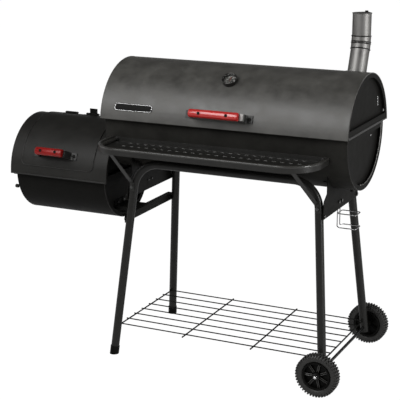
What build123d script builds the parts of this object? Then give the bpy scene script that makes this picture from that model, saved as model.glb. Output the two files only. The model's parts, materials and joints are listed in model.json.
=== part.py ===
from build123d import *
import math
import os

# Sizes in millimetres. X runs along the drum, the chimney end is +X, the front is -Y.

# Sheet, plate and fits
SHEET = 1.5  # sheet steel of both chambers
PLATE = 2.5  # plate of the saddles and the firebox bracket
SEAT = 0.2  # gap under a piece that is fastened down
CLEAR = 0.3  # gap between pieces that move past each other
RUN = 0.05  # radial play of a pin or an axle in its bore

# Cooking chamber
AXIS_Z = 799  # lid's centre line above the ground
LID_OVER = 23  # lid's radius over the drum's
LID_LEN = 864
SPLIT_RISE = 23  # lid's lower edge above its centre line
BODY_R = 180
BODY_LEN = 850
BODY_RISE = 6  # drum's centre line above the lid's
RIM_W = 14  # raised rim round a pressed end panel
RECESS = 10  # depth of the panel behind its rim
LID_BAND = 24  # straight band along the lid end's lower edge
BODY_BAND = 20  # straight band along the drum end's upper edge

# Firebox
FIRE_DROP = 204  # firebox centre line below the lid's
FIRE_GAP = 3  # gap between the hood and the drum's end
HOOD_OVER = 2  # hood's radius over the drum's
HOOD_LEN = 384
FIRE_IN = 20.5  # lower half's radius inside the hood's
FIRE_LEN = 354
FIRE_INSET = 18  # lower half's right end behind the hood's
SEAM_DROP = 5  # hood's lower edge below the firebox centre line
HOOD_BAND = 24
FIRE_BAND = 20
DUCT_R = 42
DUCT_FLANGE = 8

# Firebox door
DOOR_LEFT = 43  # hood left beside the door at its left end
DOOR_RIGHT = 51  # and at its right end
DOOR_RISE = 35  # door's lower edge above the hood's
DOOR_TOP_ANGLE = 102.5  # door's rear edge, in degrees over the top from the front
DOOR_CORNER = 20
DOOR_LAP = 12  # door over the edge of its opening
DOOR_HINGE_X = (-77, 10)  # hinges from the middle of the hood
STOP_H = 19  # door stop above the hinge pin
STOP_W = 30

# Hinges
HINGE_X = 260  # lid hinges from the middle of the lid
HINGE_LEN = 60
DOOR_HINGE_LEN = 48
KNUCKLE_R = 4
PIN_R = 2
LEAF = 2
LEAF_LEN = 40  # leaf along the shell it is riveted to

# Leg frames
LEG_D = 28
LEG_WALL = 1.5
LEG_BEND = 90
LEG_SEAM = 45  # tube's seam turned away from its bolts, in degrees
RUN_ANGLE = 42.5  # cross run below the drum's horizontal, in degrees
RUN_GAP = 7.4  # cross run clear of the drum
CORNER_X = 324
FOOT_X = 383
FOOT_Y = 224
FOOT_CAP_H = 28
FOOT_CAP_WALL = 1.5

# Saddle plates
LEFT_SADDLE_LOW = 546  # lower edge of the plate at the firebox end
RIGHT_SADDLE_LOW = 555
SADDLE_LAP = 11  # plate past the leg's centre line
SADDLE_SHOULDER = 58  # shoulder above the plate's lower edge
SADDLE_NECK = 138  # half width under the drum
SADDLE_FLANGE = 20
FLANGE_SHORT = 10  # flange's ends short of the neck, in degrees

# Firebox bracket
BAR_LOW = 462
BAR_H = 25
BAR_FLANGE = 18
BAR_LAP = 6  # bar past the leg's centre line
TONGUE_Y = -36  # middle of the tongue, towards the front
TONGUE_HALF = 40
TONGUE_H = 14  # tongue's turned-down sides
TAB_RISE = 16  # tab above the tongue

# Wheels and axle
AXLE_Z = 71  # also the tyre's radius
AXLE_R = 5
LEG_TAIL = 16  # leg past the axle
TYRE_W = 38
TYRE_PROUD = 4  # tyre's outer side past the hub's end
RIM_R = 46
LUGS = 60
LUG_DEPTH = 3.2
TYRE_ROUND = 2
HUB_LEN = 40
HUB_BOSS_R = 13
HUB_RIM_W = 30
HUB_RIM_T = 5
HUB_WEB = 5
SPOKES = 7
RIB_W = 2.4  # each spoke is a pair of ribs
RIB_APART = 5
SPOKE_H = 16
WASHER_R = 11
WASHER_T = 2
CAP_NUT_R = 7
CAP_DOME_R = 6

# Bottom rack
RACK_Z = 98
RACK_WIRES = 8
RACK_HALF = 193
RACK_CROSS = 4
RACK_WIRE_R = 1.7
RACK_ROD_R = 2.2
RACK_TAIL = 5  # wires and rods past each other's ends
WELD = 0.5  # how far crossing wires sink into each other

# Shelf and braces
SHELF_TOP = 41  # shelf's rim below the lid's centre line
SHELF_X = -18  # shelf's middle from the drum's
SHELF_LEN = 768
SHELF_FRONT = 350
SHELF_H = 21
SHELF_RIM = 9
SHELF_DIP = 15
SHELF_CORNER = 110
SHELF_BOLT_IN = 20  # bolts to the drum from the shelf's ends
SLOT_LEN = 14
SLOT_W = 4
SLOT_PITCH = 28
SLOT_END = 60  # slots clear of the shelf's ends
SLOT_ROWS = (14, 60)  # slot rows from the rear wall
BRACE_W = 14
BRACE_T = 3
BRACE_FOOT = 575
BRACE_FOOT_LEN = 28
BRACE_TAB = 20  # brace's upper end, turned flat under the panel
BRACE_TIP = 5  # upper end behind the shelf's front edge
BRACE_TOPS = (-341, 297)  # the braces' upper ends along the drum

# Grease cup holder and drain
CUP_WIRE_R = 1.8
CUP_Y = (-22, 3)
CUP_TOP = 579  # bolts that the holder hangs from
CUP_RING = 543
CUP_FLOOR = 496
CUP_OUT = 66.5
CUP_FLARE = 12
DRAIN_X = 388
DRAIN_R = 7
DRAIN_FLANGE_R = 10.5
DRAIN_LEN = 12

# Grates
GRATE_DROP = 12  # grate rail below the drum's centre line
GRATE_RAIL_W = 16
GRATE_COUNT = 3
GRATE_BAR_R = 2.5
GRATE_PITCH = 18
GRATE_GAP = 4
GRATE_END = 14  # grates clear of the drum's end panels
FIRE_GRATE_DROP = 77
FIRE_GRATE_BAR_R = 4
FIRE_GRATE_PITCH = 22

# Handles
STRAP_W = 25
STRAP_T = 3
STRAP_BEND = 7
STRAP_RISE = 36
STRAP_FOOT = 22
STRAP_SPLAY = 10  # foot outside the end of the grip's span
GRIP_W = 27
GRIP_T = 19
GRIP_ROUND = 5
LID_GRIP = 170
LID_GRIP_ANGLE = 17.5
DOOR_GRIP = 105
DOOR_GRIP_ANGLE = 24
DOOR_GRIP_SHIFT = -13  # door handle from the middle of the hood
SCREW_R = 2.5
SCREW_HEAD_R = 5
SCREW_INSET = 0.22  # screw from the end of the grip, as a share of its length
BOLT_R = 3
HEAD_RATIO = 1.9  # bolt head across its corners, for each shank radius
HEAD_HEIGHT = 1.2

# Nameplate and thermometer
NAME_X = -311
NAME_ANGLE = 18.8
NAME_LEN = 138
NAME_H = 24
NAME_ROUND = 8
THERMO_X = 5
THERMO_ANGLE = 54
THERMO_R = 25
THERMO_H = 14
THERMO_WALL = 2.5
STEM_R = 3
STEM_LEN = 60
DIAL_T = 1
NEEDLE_LEN = 17
NEEDLE_W = 2
NEEDLE_T = 0.8
LENS_T = 1.5

# Chimney
STACK_X = 365
STACK_R = 30.5
STACK_WALL = 1.5
STACK_LEAN = 21  # lower pipe behind the vertical, in degrees
STACK_LOWER = 78
STACK_UPPER = 72
RING_LEN = 21.5
RING_COUNT = 2
RING_PROUD = 0.8
COLLAR_W = 7
CAP_OVER = 1.5  # damper plate over the pipe's rim
EAR_R = 7
EAR_OUT = 6  # pivot outside the pipe
EAR_TURN = 85  # pivot's direction, in degrees from +X towards the rear

# Air damper on the firebox's left end
AIR_Y = -84
AIR_DROP = 66
AIR_R = 36
AIR_HOLES = 3
AIR_HOLE_R = 9
AIR_HOLE_AT = 20
KNOB_AT = 29
KNOB_TURN = 188  # knob's direction from the pivot, in degrees from +Y
KNOB_R = 6.5
KNOB_ROUND = 2.6
KNOB_LEN = 50

# Heights, radii and ends that follow from the sizes above
LID_R = BODY_R + LID_OVER
HOOD_R = BODY_R + HOOD_OVER
FIRE_R = HOOD_R - FIRE_IN
SPLIT_Z = AXIS_Z + SPLIT_RISE
BODY_Z = AXIS_Z + BODY_RISE
BODY_TOP = SPLIT_Z - CLEAR
FIRE_Z = AXIS_Z - FIRE_DROP
SEAM_Z = FIRE_Z - SEAM_DROP
FIRE_TOP = SEAM_Z - SEAT
HOOD_X1 = -BODY_LEN / 2 - FIRE_GAP
HOOD_X0 = HOOD_X1 - HOOD_LEN
HOOD_MID = (HOOD_X0 + HOOD_X1) / 2
FIRE_X1 = HOOD_X1 - FIRE_INSET
FIRE_X0 = FIRE_X1 - FIRE_LEN
DOOR_R = HOOD_R + CLEAR + SHEET
LEG_R = LEG_D / 2
RUN_R = BODY_R + RUN_GAP + LEG_R
RUN_Y = RUN_R * math.cos(math.radians(RUN_ANGLE))
RUN_Z = BODY_Z - RUN_R * math.sin(math.radians(RUN_ANGLE))
SHELF_Z = AXIS_Z - SHELF_TOP
BARREL_END = BODY_LEN / 2


# Basic shapes

def along_x(face, x_low, x_high):
    """A face drawn in the YZ plane, drawn out from one x to another."""
    return extrude(Plane.YZ.offset(x_low) * face, amount=x_high - x_low)


def yz_box(y_low, y_high, z_low, z_high):
    """A rectangle in the YZ plane."""
    middle = Pos((y_low + y_high) / 2, (z_low + z_high) / 2)
    return middle * Rectangle(y_high - y_low, z_high - z_low)


def rod_x(y, z, radius, x_low, x_high):
    """A round bar along X."""
    return along_x(Pos(y, z) * Circle(radius), x_low, x_high)


def rod_y(x, z, radius, y_low, y_high):
    """A round bar along Y."""
    return Pos(x, (y_low + y_high) / 2, z) * Rot(90, 0, 0) * Cylinder(radius, y_high - y_low)


def arc_band(r_in, r_out, low, high, z):
    """A ring sector about a centre line at height z. Angles rise from the front over the top."""
    inner = CenterArc((0, z), r_in, 180 - high, high - low)
    outer = CenterArc((0, z), r_out, 180 - high, high - low)
    sides = [Line(inner @ 0, outer @ 0), Line(inner @ 1, outer @ 1)]
    return make_face([inner, outer] + sides)


def d_face(radius, z, cut, upper):
    """The part of a disc about height z that lies above or below a level cut."""
    lean = math.degrees(math.asin((cut - z) / radius))
    if upper:
        arc = CenterArc((0, z), radius, lean, 180 - 2 * lean)
    else:
        arc = CenterArc((0, z), radius, 180 - lean, 180 + 2 * lean)
    return make_face([arc, Line(arc @ 1, arc @ 0)])


def half_width(radius, height):
    """Half the width of a circle at a height from its centre."""
    return math.sqrt(radius ** 2 - height ** 2)


def half_shell(radius, z, cut, upper):
    """The section of a rolled half drum with level edges."""
    return d_face(radius, z, cut, upper) - Pos(0, z) * Circle(radius - SHEET)


def pressed_end(radius, z, cut, band, x_face, inward, upper):
    """An end panel pressed inwards behind a raised rim. inward is +1 or -1 along X."""
    side = 1 if upper else -1
    panel_r = radius - RIM_W

    def slab(face, start, end):
        low, high = sorted((x_face + inward * start, x_face + inward * end))
        return along_x(face, low, high)

    pocket = d_face(panel_r, z, cut + side * band, upper)
    wall = d_face(panel_r + SHEET, z, cut + side * (band - SHEET), upper)
    rim = slab(d_face(radius, z, cut, upper), 0, SHEET) - slab(pocket, 0, SHEET)
    return rim + (slab(wall, 0, RECESS + SHEET) - slab(pocket, 0, RECESS))


def radial_plane(x, angle, radius, z):
    """A plane tangent to a drum, its normal outwards and its x along the drum."""
    turn = math.radians(angle)
    outward = (0, -math.cos(turn), math.sin(turn))
    origin = (x, radius * outward[1], z + radius * outward[2])
    return Plane(origin=origin, x_dir=(1, 0, 0), z_dir=outward)


def rod_along(path, radius):
    """A round wire along a path."""
    return sweep(Plane(origin=path @ 0, z_dir=path % 0) * Circle(radius), path=path)


def bent_strip(points, bend, width, thick, across):
    """A flat strip along straight runs with rounded corners, its width along across."""
    path = FilletPolyline(*points, radius=bend)
    section = Plane(origin=path @ 0, x_dir=across, z_dir=path % 0) * Rectangle(width, thick)
    return sweep(section, path=path)


def joined(pieces):
    """All pieces in one node."""
    total = Part()
    for piece in pieces:
        total += piece
    return total


# Fasteners: each one cuts its own holes in the pieces it goes through

nodes = {}


def fasten(group, plane, grip, radius, through, head_r=None, head_h=None):
    """A bolt whose head stands on a plane and whose shank goes back through the named pieces."""
    head_r = head_r or radius * HEAD_RATIO
    head_h = head_h or radius * HEAD_HEIGHT
    head = extrude(plane * RegularPolygon(head_r, 6), amount=head_h)
    bolt = head + extrude(plane * Circle(radius), amount=-grip)
    hole = extrude(plane.offset(SEAT) * Circle(radius + SEAT), amount=-grip - 2 * SEAT)
    for name in through:
        nodes[name] = nodes[name] - hole
    nodes[group] = nodes.get(group, Part()) + bolt


# Hinges: two moving knuckles outside a fixed one

def knuckle_spans(x, length):
    """The fixed and the moving knuckles of a hinge about x, as spans along X."""
    third = length / 6
    fixed = [(x - third, x + third)]
    moving = [(x - length / 2, x - third - CLEAR), (x + third + CLEAR, x + length / 2)]
    return fixed, moving


def hinge_leaf(strip, x, length, pin, own, other):
    """A hinge leaf: its strip with its own knuckles, cut clear of the other leaf's."""
    leaf = along_x(strip, x - length / 2, x + length / 2)
    for low, high in other:
        leaf -= rod_x(*pin, KNUCKLE_R + CLEAR, low - CLEAR, high + CLEAR)
    for low, high in own:
        leaf += rod_x(*pin, KNUCKLE_R, low, high)
    return leaf - rod_x(*pin, PIN_R + RUN, x - length, x + length)


def hinge_pin(x, length, pin):
    """A hinge pin with a flat head at each end."""
    end = length / 2 + CLEAR
    bar = rod_x(*pin, PIN_R, x - end - LEAF, x + end + LEAF)
    for low in (x - end - LEAF, x + end):
        bar += rod_x(*pin, KNUCKLE_R - 1, low, low + LEAF)
    return bar


def polar(radius, angle, z):
    """The y and z of a point at an angle over the top from the front."""
    turn = math.radians(angle)
    return -radius * math.cos(turn), z + radius * math.sin(turn)


# Leg frames

def leg_at(z):
    """Half spread of the legs' centre lines, in x and y, at a height."""
    share = z / RUN_Z
    return FOOT_X + (CORNER_X - FOOT_X) * share, FOOT_Y + (RUN_Y - FOOT_Y) * share


AXLE_X = leg_at(AXLE_Z)[0]
LEG_LEAN = math.hypot(FOOT_X - CORNER_X, FOOT_Y - RUN_Y, RUN_Z) / RUN_Z  # slant length for each height


def leg_frame(side):
    """One bent tube: left foot, run under the drum and right leg. side is -1 at the front."""
    def point(x_side, z):
        x, y = leg_at(z)
        return (x_side * x, side * y, z)

    tail = AXLE_Z - LEG_TAIL
    corners = [point(-1, -LEG_D), point(-1, RUN_Z), point(1, RUN_Z), point(1, tail)]
    path = FilletPolyline(*corners, radius=LEG_BEND)
    ring = Rot(0, 0, LEG_SEAM) * (Circle(LEG_R) - Circle(LEG_R - LEG_WALL))
    tube = sweep(Plane(origin=path @ 0, z_dir=path % 0) * ring, path=path)
    return split(tube, bisect_by=Plane.XY.offset(FOOT_CAP_WALL + SEAT), keep=Keep.TOP)


def foot_cap(side):
    """A plastic cap over the end of a left leg, flat on the ground."""
    low = Vector(-FOOT_X, side * FOOT_Y, 0)
    x, y = leg_at(RUN_Z)
    line = Plane(origin=low, z_dir=Vector(-x, side * y, RUN_Z) - low)
    slant = FOOT_CAP_H * LEG_LEAN
    cap = extrude(line.offset(-LEG_D) * Circle(LEG_R + SEAT + FOOT_CAP_WALL), amount=LEG_D + slant)
    cap = split(cap, bisect_by=Plane.XY, keep=Keep.TOP)
    bore = extrude(line.offset(-LEG_D) * Circle(LEG_R + SEAT), amount=2 * LEG_D + slant)
    return cap - split(bore, bisect_by=Plane.XY.offset(FOOT_CAP_WALL), keep=Keep.TOP)


nodes["front_leg_frame"] = leg_frame(-1)
nodes["rear_leg_frame"] = leg_frame(1)
nodes["foot_caps"] = joined(foot_cap(side) for side in (-1, 1))


# Cooking chamber: lower drum, its ends and its drain

LIP_Y = half_width(LID_R, SPLIT_RISE) - SEAT  # drum's turned-out rim ends under the lid's edge
LIP_IN = half_width(BODY_R, BODY_TOP - BODY_Z) - SHEET

body = along_x(half_shell(BODY_R, BODY_Z, BODY_TOP, False), -BARREL_END, BARREL_END)
for low, high in ((-LIP_Y, -LIP_IN), (LIP_IN, LIP_Y)):
    body += along_x(yz_box(low, high, BODY_TOP - SHEET, BODY_TOP), -BARREL_END, BARREL_END)
drain_axis = Pos(DRAIN_X, 0, BODY_Z - BODY_R)
body -= drain_axis * Cylinder(DRAIN_R + SEAT, 2 * DRAIN_LEN)
nodes["main_body"] = body

drain_sag = BODY_R - half_width(BODY_R, DRAIN_FLANGE_R)  # flange's edge clear of the drum's curve
flange_z = SHEET + drain_sag + SEAT
upright = (Align.CENTER, Align.CENTER, Align.MIN)
spout = Pos(0, 0, -DRAIN_LEN) * Cylinder(DRAIN_R, DRAIN_LEN + flange_z + SHEET, align=upright)
spout += Pos(0, 0, flange_z) * Cylinder(DRAIN_FLANGE_R, SHEET, align=upright)
nodes["drain_spout"] = drain_axis * (spout - Cylinder(DRAIN_R - SHEET, 4 * DRAIN_LEN))

end_r = BODY_R - SHEET - SEAT
nodes["body_end_left"] = pressed_end(end_r, BODY_Z, BODY_TOP, BODY_BAND, -BARREL_END, 1, False)
nodes["body_end_right"] = pressed_end(end_r, BODY_Z, BODY_TOP, BODY_BAND, BARREL_END, -1, False)


# Grates

RAIL_Z = BODY_Z - GRATE_DROP
RAIL_Y = half_width(BODY_R - SHEET, GRATE_DROP + SHEET) - SEAT
GRATE_LIMIT = BARREL_END - RECESS - SHEET - GRATE_END


def grate_rails():
    """Two ledges on the drum's walls that the cooking grates lie on."""
    rails = []
    for low, high in ((-RAIL_Y, GRATE_RAIL_W - RAIL_Y), (RAIL_Y - GRATE_RAIL_W, RAIL_Y)):
        rails.append(along_x(yz_box(low, high, RAIL_Z - SHEET, RAIL_Z), -GRATE_LIMIT, GRATE_LIMIT))
    return joined(rails)


def cooking_grate(index):
    """One lift-out grate: bars from front to rear on two cross rods."""
    width = 2 * GRATE_LIMIT / GRATE_COUNT
    low = -GRATE_LIMIT + index * width + GRATE_GAP / 2
    span = width - GRATE_GAP - 2 * GRATE_BAR_R
    bars = int(span // GRATE_PITCH)
    bar_z = RAIL_Z + GRATE_BAR_R + SEAT
    reach = RAIL_Y - 2 * GRATE_BAR_R
    rod_z = bar_z - 2 * GRATE_BAR_R + WELD
    grate = Part()
    for side in (-1, 1):
        rod_line = side * (reach - GRATE_RAIL_W - 3 * GRATE_BAR_R)
        grate += rod_x(rod_line, rod_z, GRATE_BAR_R, low, low + width - GRATE_GAP)
    for step in range(bars + 1):
        bar_x = low + GRATE_BAR_R + span * step / bars
        grate += rod_y(bar_x, bar_z, GRATE_BAR_R, -reach, reach)
    return grate


def firebox_grate():
    """Charcoal grate: bars along the firebox on two cross rods, bedded on the lower half's curve."""
    rod_r = FIRE_GRATE_BAR_R
    rod_z = FIRE_Z - FIRE_GRATE_DROP
    inside = half_width(FIRE_R - SHEET, FIRE_GRATE_DROP + rod_r) - SEAT
    bar_z = rod_z + 2 * rod_r - WELD
    low = FIRE_X0 + RECESS + SHEET + GRATE_END
    high = FIRE_X1 - RECESS - SHEET - GRATE_END
    bars = int(2 * (inside - rod_r) // FIRE_GRATE_PITCH)
    grate = Part()
    for rod_line in (low + 3 * rod_r, (low + high) / 2, high - 3 * rod_r):
        grate += rod_y(rod_line, rod_z, rod_r, -inside, inside)
    for step in range(bars + 1):
        bar_y = (inside - rod_r) * (2 * step / bars - 1)
        grate += rod_x(bar_y, bar_z, rod_r, low, high)
    return grate


nodes["grate_rails"] = grate_rails()
for index, place in enumerate(("left", "middle", "right")[:GRATE_COUNT]):
    nodes["cooking_grate_" + place] = cooking_grate(index)
nodes["firebox_grate"] = firebox_grate()


# Firebox: lower half, hood and their ends

LEDGE_Y = half_width(HOOD_R, SEAM_DROP) - SEAT
LEDGE_IN = half_width(FIRE_R, FIRE_TOP - FIRE_Z) - SHEET

firebox = along_x(half_shell(FIRE_R, FIRE_Z, FIRE_TOP, False), FIRE_X0, FIRE_X1)
for low, high in ((-LEDGE_Y, -LEDGE_IN), (LEDGE_IN, LEDGE_Y)):
    firebox += along_x(yz_box(low, high, FIRE_TOP - SHEET, FIRE_TOP), FIRE_X0, FIRE_X1)
nodes["firebox_body"] = firebox

end_r = FIRE_R - SHEET - SEAT
nodes["firebox_body_end_left"] = pressed_end(end_r, FIRE_Z, FIRE_TOP, FIRE_BAND, FIRE_X0, 1, False)
nodes["firebox_body_end_right"] = pressed_end(end_r, FIRE_Z, FIRE_TOP, FIRE_BAND, FIRE_X1, -1, False)

end_r = HOOD_R - SHEET - SEAT
nodes["firebox_hood_end_left"] = pressed_end(end_r, FIRE_Z, SEAM_Z, HOOD_BAND, HOOD_X0, 1, True)
nodes["firebox_hood_end_right"] = pressed_end(end_r, FIRE_Z, SEAM_Z, HOOD_BAND, HOOD_X1, -1, True)

DOOR_X0 = HOOD_X0 + DOOR_LEFT
DOOR_X1 = HOOD_X1 - DOOR_RIGHT
DOOR_LOW_ANGLE = math.degrees(math.asin((DOOR_RISE - SEAM_DROP) / HOOD_R))


def rounded_panel(r_in, r_out, low, high, x_low, x_high, corner):
    """A piece of drum wall with rounded corners."""
    panel = along_x(arc_band(r_in, r_out, low, high, FIRE_Z), x_low, x_high)
    corners = [edge for edge in panel.edges() if abs(edge.length - (r_out - r_in)) < SEAT]
    return fillet(corners, corner)


lap_angle = math.degrees(DOOR_LAP / HOOD_R)
opening = rounded_panel(
    HOOD_R - 2 * SHEET, HOOD_R + SHEET, DOOR_LOW_ANGLE + lap_angle, DOOR_TOP_ANGLE - lap_angle,
    DOOR_X0 + DOOR_LAP, DOOR_X1 - DOOR_LAP, DOOR_CORNER - DOOR_LAP / 2)
hood = along_x(half_shell(HOOD_R, FIRE_Z, SEAM_Z, True), HOOD_X0, HOOD_X1)
nodes["firebox_hood"] = hood - opening
nodes["door_panel"] = rounded_panel(
    HOOD_R + CLEAR, DOOR_R, DOOR_LOW_ANGLE, DOOR_TOP_ANGLE, DOOR_X0, DOOR_X1, DOOR_CORNER)


# Smoke duct between the firebox and the chamber

DUCT_Z = (BODY_Z - BODY_R + FIRE_Z + HOOD_R) / 2
hood_panel_x = HOOD_X1 - RECESS
body_panel_x = -BARREL_END + RECESS


def smoke_duct():
    """A round throat with a flange against each end panel."""
    duct = rod_x(0, DUCT_Z, DUCT_R, hood_panel_x - 3 * SHEET, body_panel_x + 3 * SHEET)
    for low in (hood_panel_x + SEAT, body_panel_x - SEAT - SHEET):
        duct += rod_x(0, DUCT_Z, DUCT_R + DUCT_FLANGE, low, low + SHEET)
    return duct - rod_x(0, DUCT_Z, DUCT_R - SHEET, HOOD_X0, 0)


throat = rod_x(0, DUCT_Z, DUCT_R + SEAT, hood_panel_x - RECESS, body_panel_x + RECESS)
nodes["firebox_hood_end_right"] -= throat
nodes["body_end_left"] -= throat
nodes["smoke_duct"] = smoke_duct()


# Saddle plates between the leg frames, with a flange under the drum

def saddle_face(low):
    """Distance of a saddle plate's inner face from the middle, for its lower edge."""
    return leg_at(low)[0] + LEG_R * LEG_LEAN + SEAT


def saddle_plate(side, low):
    """A plate across one pair of legs, hollowed to the drum. side is +1 at the chimney end."""
    shoulder = low + SADDLE_SHOULDER
    low_y = leg_at(low)[1] + SADDLE_LAP
    shoulder_y = leg_at(shoulder)[1] + SADDLE_LAP
    neck_z = shoulder + SADDLE_FLANGE
    half = [(low_y, low), (shoulder_y, shoulder), (SADDLE_NECK, neck_z), (SADDLE_NECK, BODY_Z)]
    outline = half + [(-y, z) for y, z in reversed(half)]
    face = make_face(Polyline(*outline, close=True)) - Pos(0, BODY_Z) * Circle(BODY_R + SEAT)
    inner = saddle_face(low)
    ends = sorted((side * inner, side * (inner + PLATE)))
    plate = along_x(face, *ends)
    reach = math.degrees(math.asin(SADDLE_NECK / (BODY_R + SEAT))) - FLANGE_SHORT
    flange = arc_band(BODY_R + SEAT, BODY_R + SEAT + PLATE, -90 - reach, -90 + reach, BODY_Z)
    ends = sorted((side * (inner - SADDLE_FLANGE), side * (inner + PLATE)))
    return plate + along_x(flange, *ends)


nodes["left_saddle_plate"] = saddle_plate(-1, LEFT_SADDLE_LOW)
nodes["right_saddle_plate"] = saddle_plate(1, RIGHT_SADDLE_LOW)


# Firebox bracket across the left legs

BAR_X = -(leg_at(BAR_LOW)[0] + LEG_R * LEG_LEAN + SEAT)
TAB_X = FIRE_X1 - RECESS + SEAT


def firebox_bracket():
    """Angle bar on the left legs, a channel towards the firebox and a tab against its end."""
    reach = leg_at(BAR_LOW)[1] + BAR_LAP
    top = BAR_LOW + BAR_H
    bar = along_x(yz_box(-reach, reach, BAR_LOW, top), BAR_X - PLATE, BAR_X)
    bar += along_x(yz_box(-reach, reach, top - PLATE, top), BAR_X - BAR_FLANGE, BAR_X)
    low, high = TONGUE_Y - TONGUE_HALF, TONGUE_Y + TONGUE_HALF
    channel = yz_box(low, high, top - TONGUE_H, top)
    channel -= yz_box(low + PLATE, high - PLATE, top - TONGUE_H, top - PLATE)
    bar += along_x(channel, TAB_X, BAR_X)
    tab = yz_box(low, high, top - TONGUE_H, top + TAB_RISE)
    return bar + along_x(tab, TAB_X, TAB_X + PLATE)


nodes["firebox_bracket"] = firebox_bracket()


# Front shelf with slots, and its braces

SHELF_BACK = half_width(BODY_R, BODY_Z - SHELF_Z) + SEAT
PANEL_Z = SHELF_Z - SHELF_DIP


def tray_outline(inset):
    """The shelf's plan, drawn in by an inset on its three rimmed sides."""
    half = SHELF_LEN / 2 - inset
    front = -SHELF_FRONT + inset
    corners = [(-half, -SHELF_BACK), (half, -SHELF_BACK), (half, front), (-half, front)]
    face = make_face(Polyline(*corners, close=True))
    rounded = face.vertices().group_by(Axis.Y)[0]
    return fillet(rounded, SHELF_CORNER - inset)


def front_shelf():
    """A pressed tray: turned-down rim, dipped panel with slots, and a wall at the drum."""
    low = SHELF_Z - SHELF_H
    tray = Pos(0, 0, low) * extrude(tray_outline(0), amount=SHELF_H)
    tray -= Pos(0, 0, low) * extrude(tray_outline(SHEET), amount=SHELF_H - SHELF_DIP - SHEET)
    tray -= Pos(0, 0, PANEL_Z) * extrude(tray_outline(SHELF_RIM + SHEET), amount=SHELF_DIP)
    under_rim = tray_outline(SHEET) - tray_outline(SHELF_RIM)
    tray -= Pos(0, 0, low) * extrude(under_rim, amount=SHELF_H - SHEET)
    half = SHELF_LEN / 2 - SHEET
    wall = yz_box(-SHELF_BACK - SHEET, -SHELF_BACK, PANEL_Z - SHEET, SHELF_Z)
    tray += along_x(wall, -half, half)
    slots = int((SHELF_LEN - 2 * SLOT_END) // SLOT_PITCH)
    spots = []
    for row in SLOT_ROWS:
        for step in range(slots):
            spots.append(Pos((step - (slots - 1) / 2) * SLOT_PITCH, -SHELF_BACK - row))
    cutters = Sketch() + [spot * SlotOverall(SLOT_LEN, SLOT_W) for spot in spots]
    tray -= Pos(0, 0, PANEL_Z - 2 * SHEET) * extrude(cutters, amount=3 * SHEET)
    return Pos(SHELF_X, 0, 0) * tray


BRACE_BOLT_Z = BRACE_FOOT + BRACE_FOOT_LEN / 2
BRACE_X = leg_at(BRACE_BOLT_Z)[0]
BRACE_TOP_Z = PANEL_Z - SHEET - SEAT - BRACE_T / 2


def shelf_front(x):
    """How far forward the shelf's rim is at a place along the drum."""
    past = max(0, abs(x - SHELF_X) - SHELF_LEN / 2 + SHELF_CORNER)
    return SHELF_FRONT - SHELF_CORNER + math.sqrt(SHELF_CORNER ** 2 - past ** 2)


def brace_y(z):
    """The middle of a brace's thickness where its foot lies on the front legs."""
    return -(leg_at(z)[1] + (LEG_R + BRACE_T / 2) * LEG_LEAN + SEAT)


def brace_slope(side, top_x):
    """How far a brace leans along the drum for each unit of its height."""
    return (top_x - side * BRACE_X) / (BRACE_TOP_Z - BRACE_BOLT_Z)


def shelf_brace(side, top_x):
    """A flat strip from a front leg up to the shelf, with its end turned flat under the panel."""
    slope = brace_slope(side, top_x)
    knee = BRACE_FOOT + BRACE_FOOT_LEN
    tip = BRACE_TIP - shelf_front(top_x + math.copysign(BRACE_W / 2, top_x))
    level = BRACE_TOP_Z - abs(slope) * BRACE_W / 2
    profile = [(brace_y(BRACE_FOOT), BRACE_FOOT), (brace_y(knee), knee)]
    profile += [(tip + BRACE_TAB, level), (tip, level)]
    points = [(top_x + slope * (z - BRACE_TOP_Z), y, z) for y, z in profile]
    return bent_strip(points, 2 * BRACE_T, BRACE_W, BRACE_T, (1, 0, -slope))


nodes["front_shelf"] = front_shelf()
left_top, right_top = BRACE_TOPS
nodes["left_shelf_brace"] = shelf_brace(-1, left_top)
nodes["right_shelf_brace"] = shelf_brace(1, right_top)


# Bottom rack: long wires on cross rods whose ends sit in the legs

def bottom_rack():
    """Long wires welded on cross rods. The end rods reach into the legs."""
    end_x, leg_y = leg_at(RACK_Z)
    rack = Part()
    for step in range(RACK_CROSS):
        x = end_x * (2 * step / (RACK_CROSS - 1) - 1)
        inner = 0 < step < RACK_CROSS - 1
        reach = RACK_HALF + RACK_TAIL if inner else leg_y
        rack += rod_y(x, RACK_Z, RACK_ROD_R, -reach, reach)
    wire_z = RACK_Z + RACK_ROD_R + RACK_WIRE_R - WELD
    for step in range(RACK_WIRES):
        y = RACK_HALF * (2 * step / (RACK_WIRES - 1) - 1)
        rack += rod_x(y, wire_z, RACK_WIRE_R, -end_x - RACK_TAIL, end_x + RACK_TAIL)
    return rack


rack_holes = Part()
for side in (-1, 1):
    end_x, leg_y = leg_at(RACK_Z)
    rack_holes += rod_y(side * end_x, RACK_Z, RACK_ROD_R + SEAT, -leg_y - RACK_ROD_R, leg_y + RACK_ROD_R)
axle_hole = rod_y(AXLE_X, AXLE_Z, AXLE_R + SEAT, -2 * FOOT_Y, 2 * FOOT_Y)
for name in ("front_leg_frame", "rear_leg_frame"):
    nodes[name] = nodes[name] - rack_holes - axle_hole
nodes["bottom_rack"] = bottom_rack()


# Axle and wheels, drawn standing on their inner face and then turned outwards

TYRE_R = AXLE_Z
HUB_Y = leg_at(AXLE_Z - LEG_TAIL)[1] + LEG_R * LEG_LEAN + WASHER_T + CLEAR
TYRE_MID = HUB_LEN - TYRE_W / 2 + TYRE_PROUD
AXLE_END = HUB_Y + HUB_LEN + CLEAR + WASHER_T + AXLE_R


def wheel_place(side):
    """Where a wheel's inner face goes. side is -1 at the front."""
    return Pos(AXLE_X, side * HUB_Y, AXLE_Z) * Rot(-90 * side, 0, 0)


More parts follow.
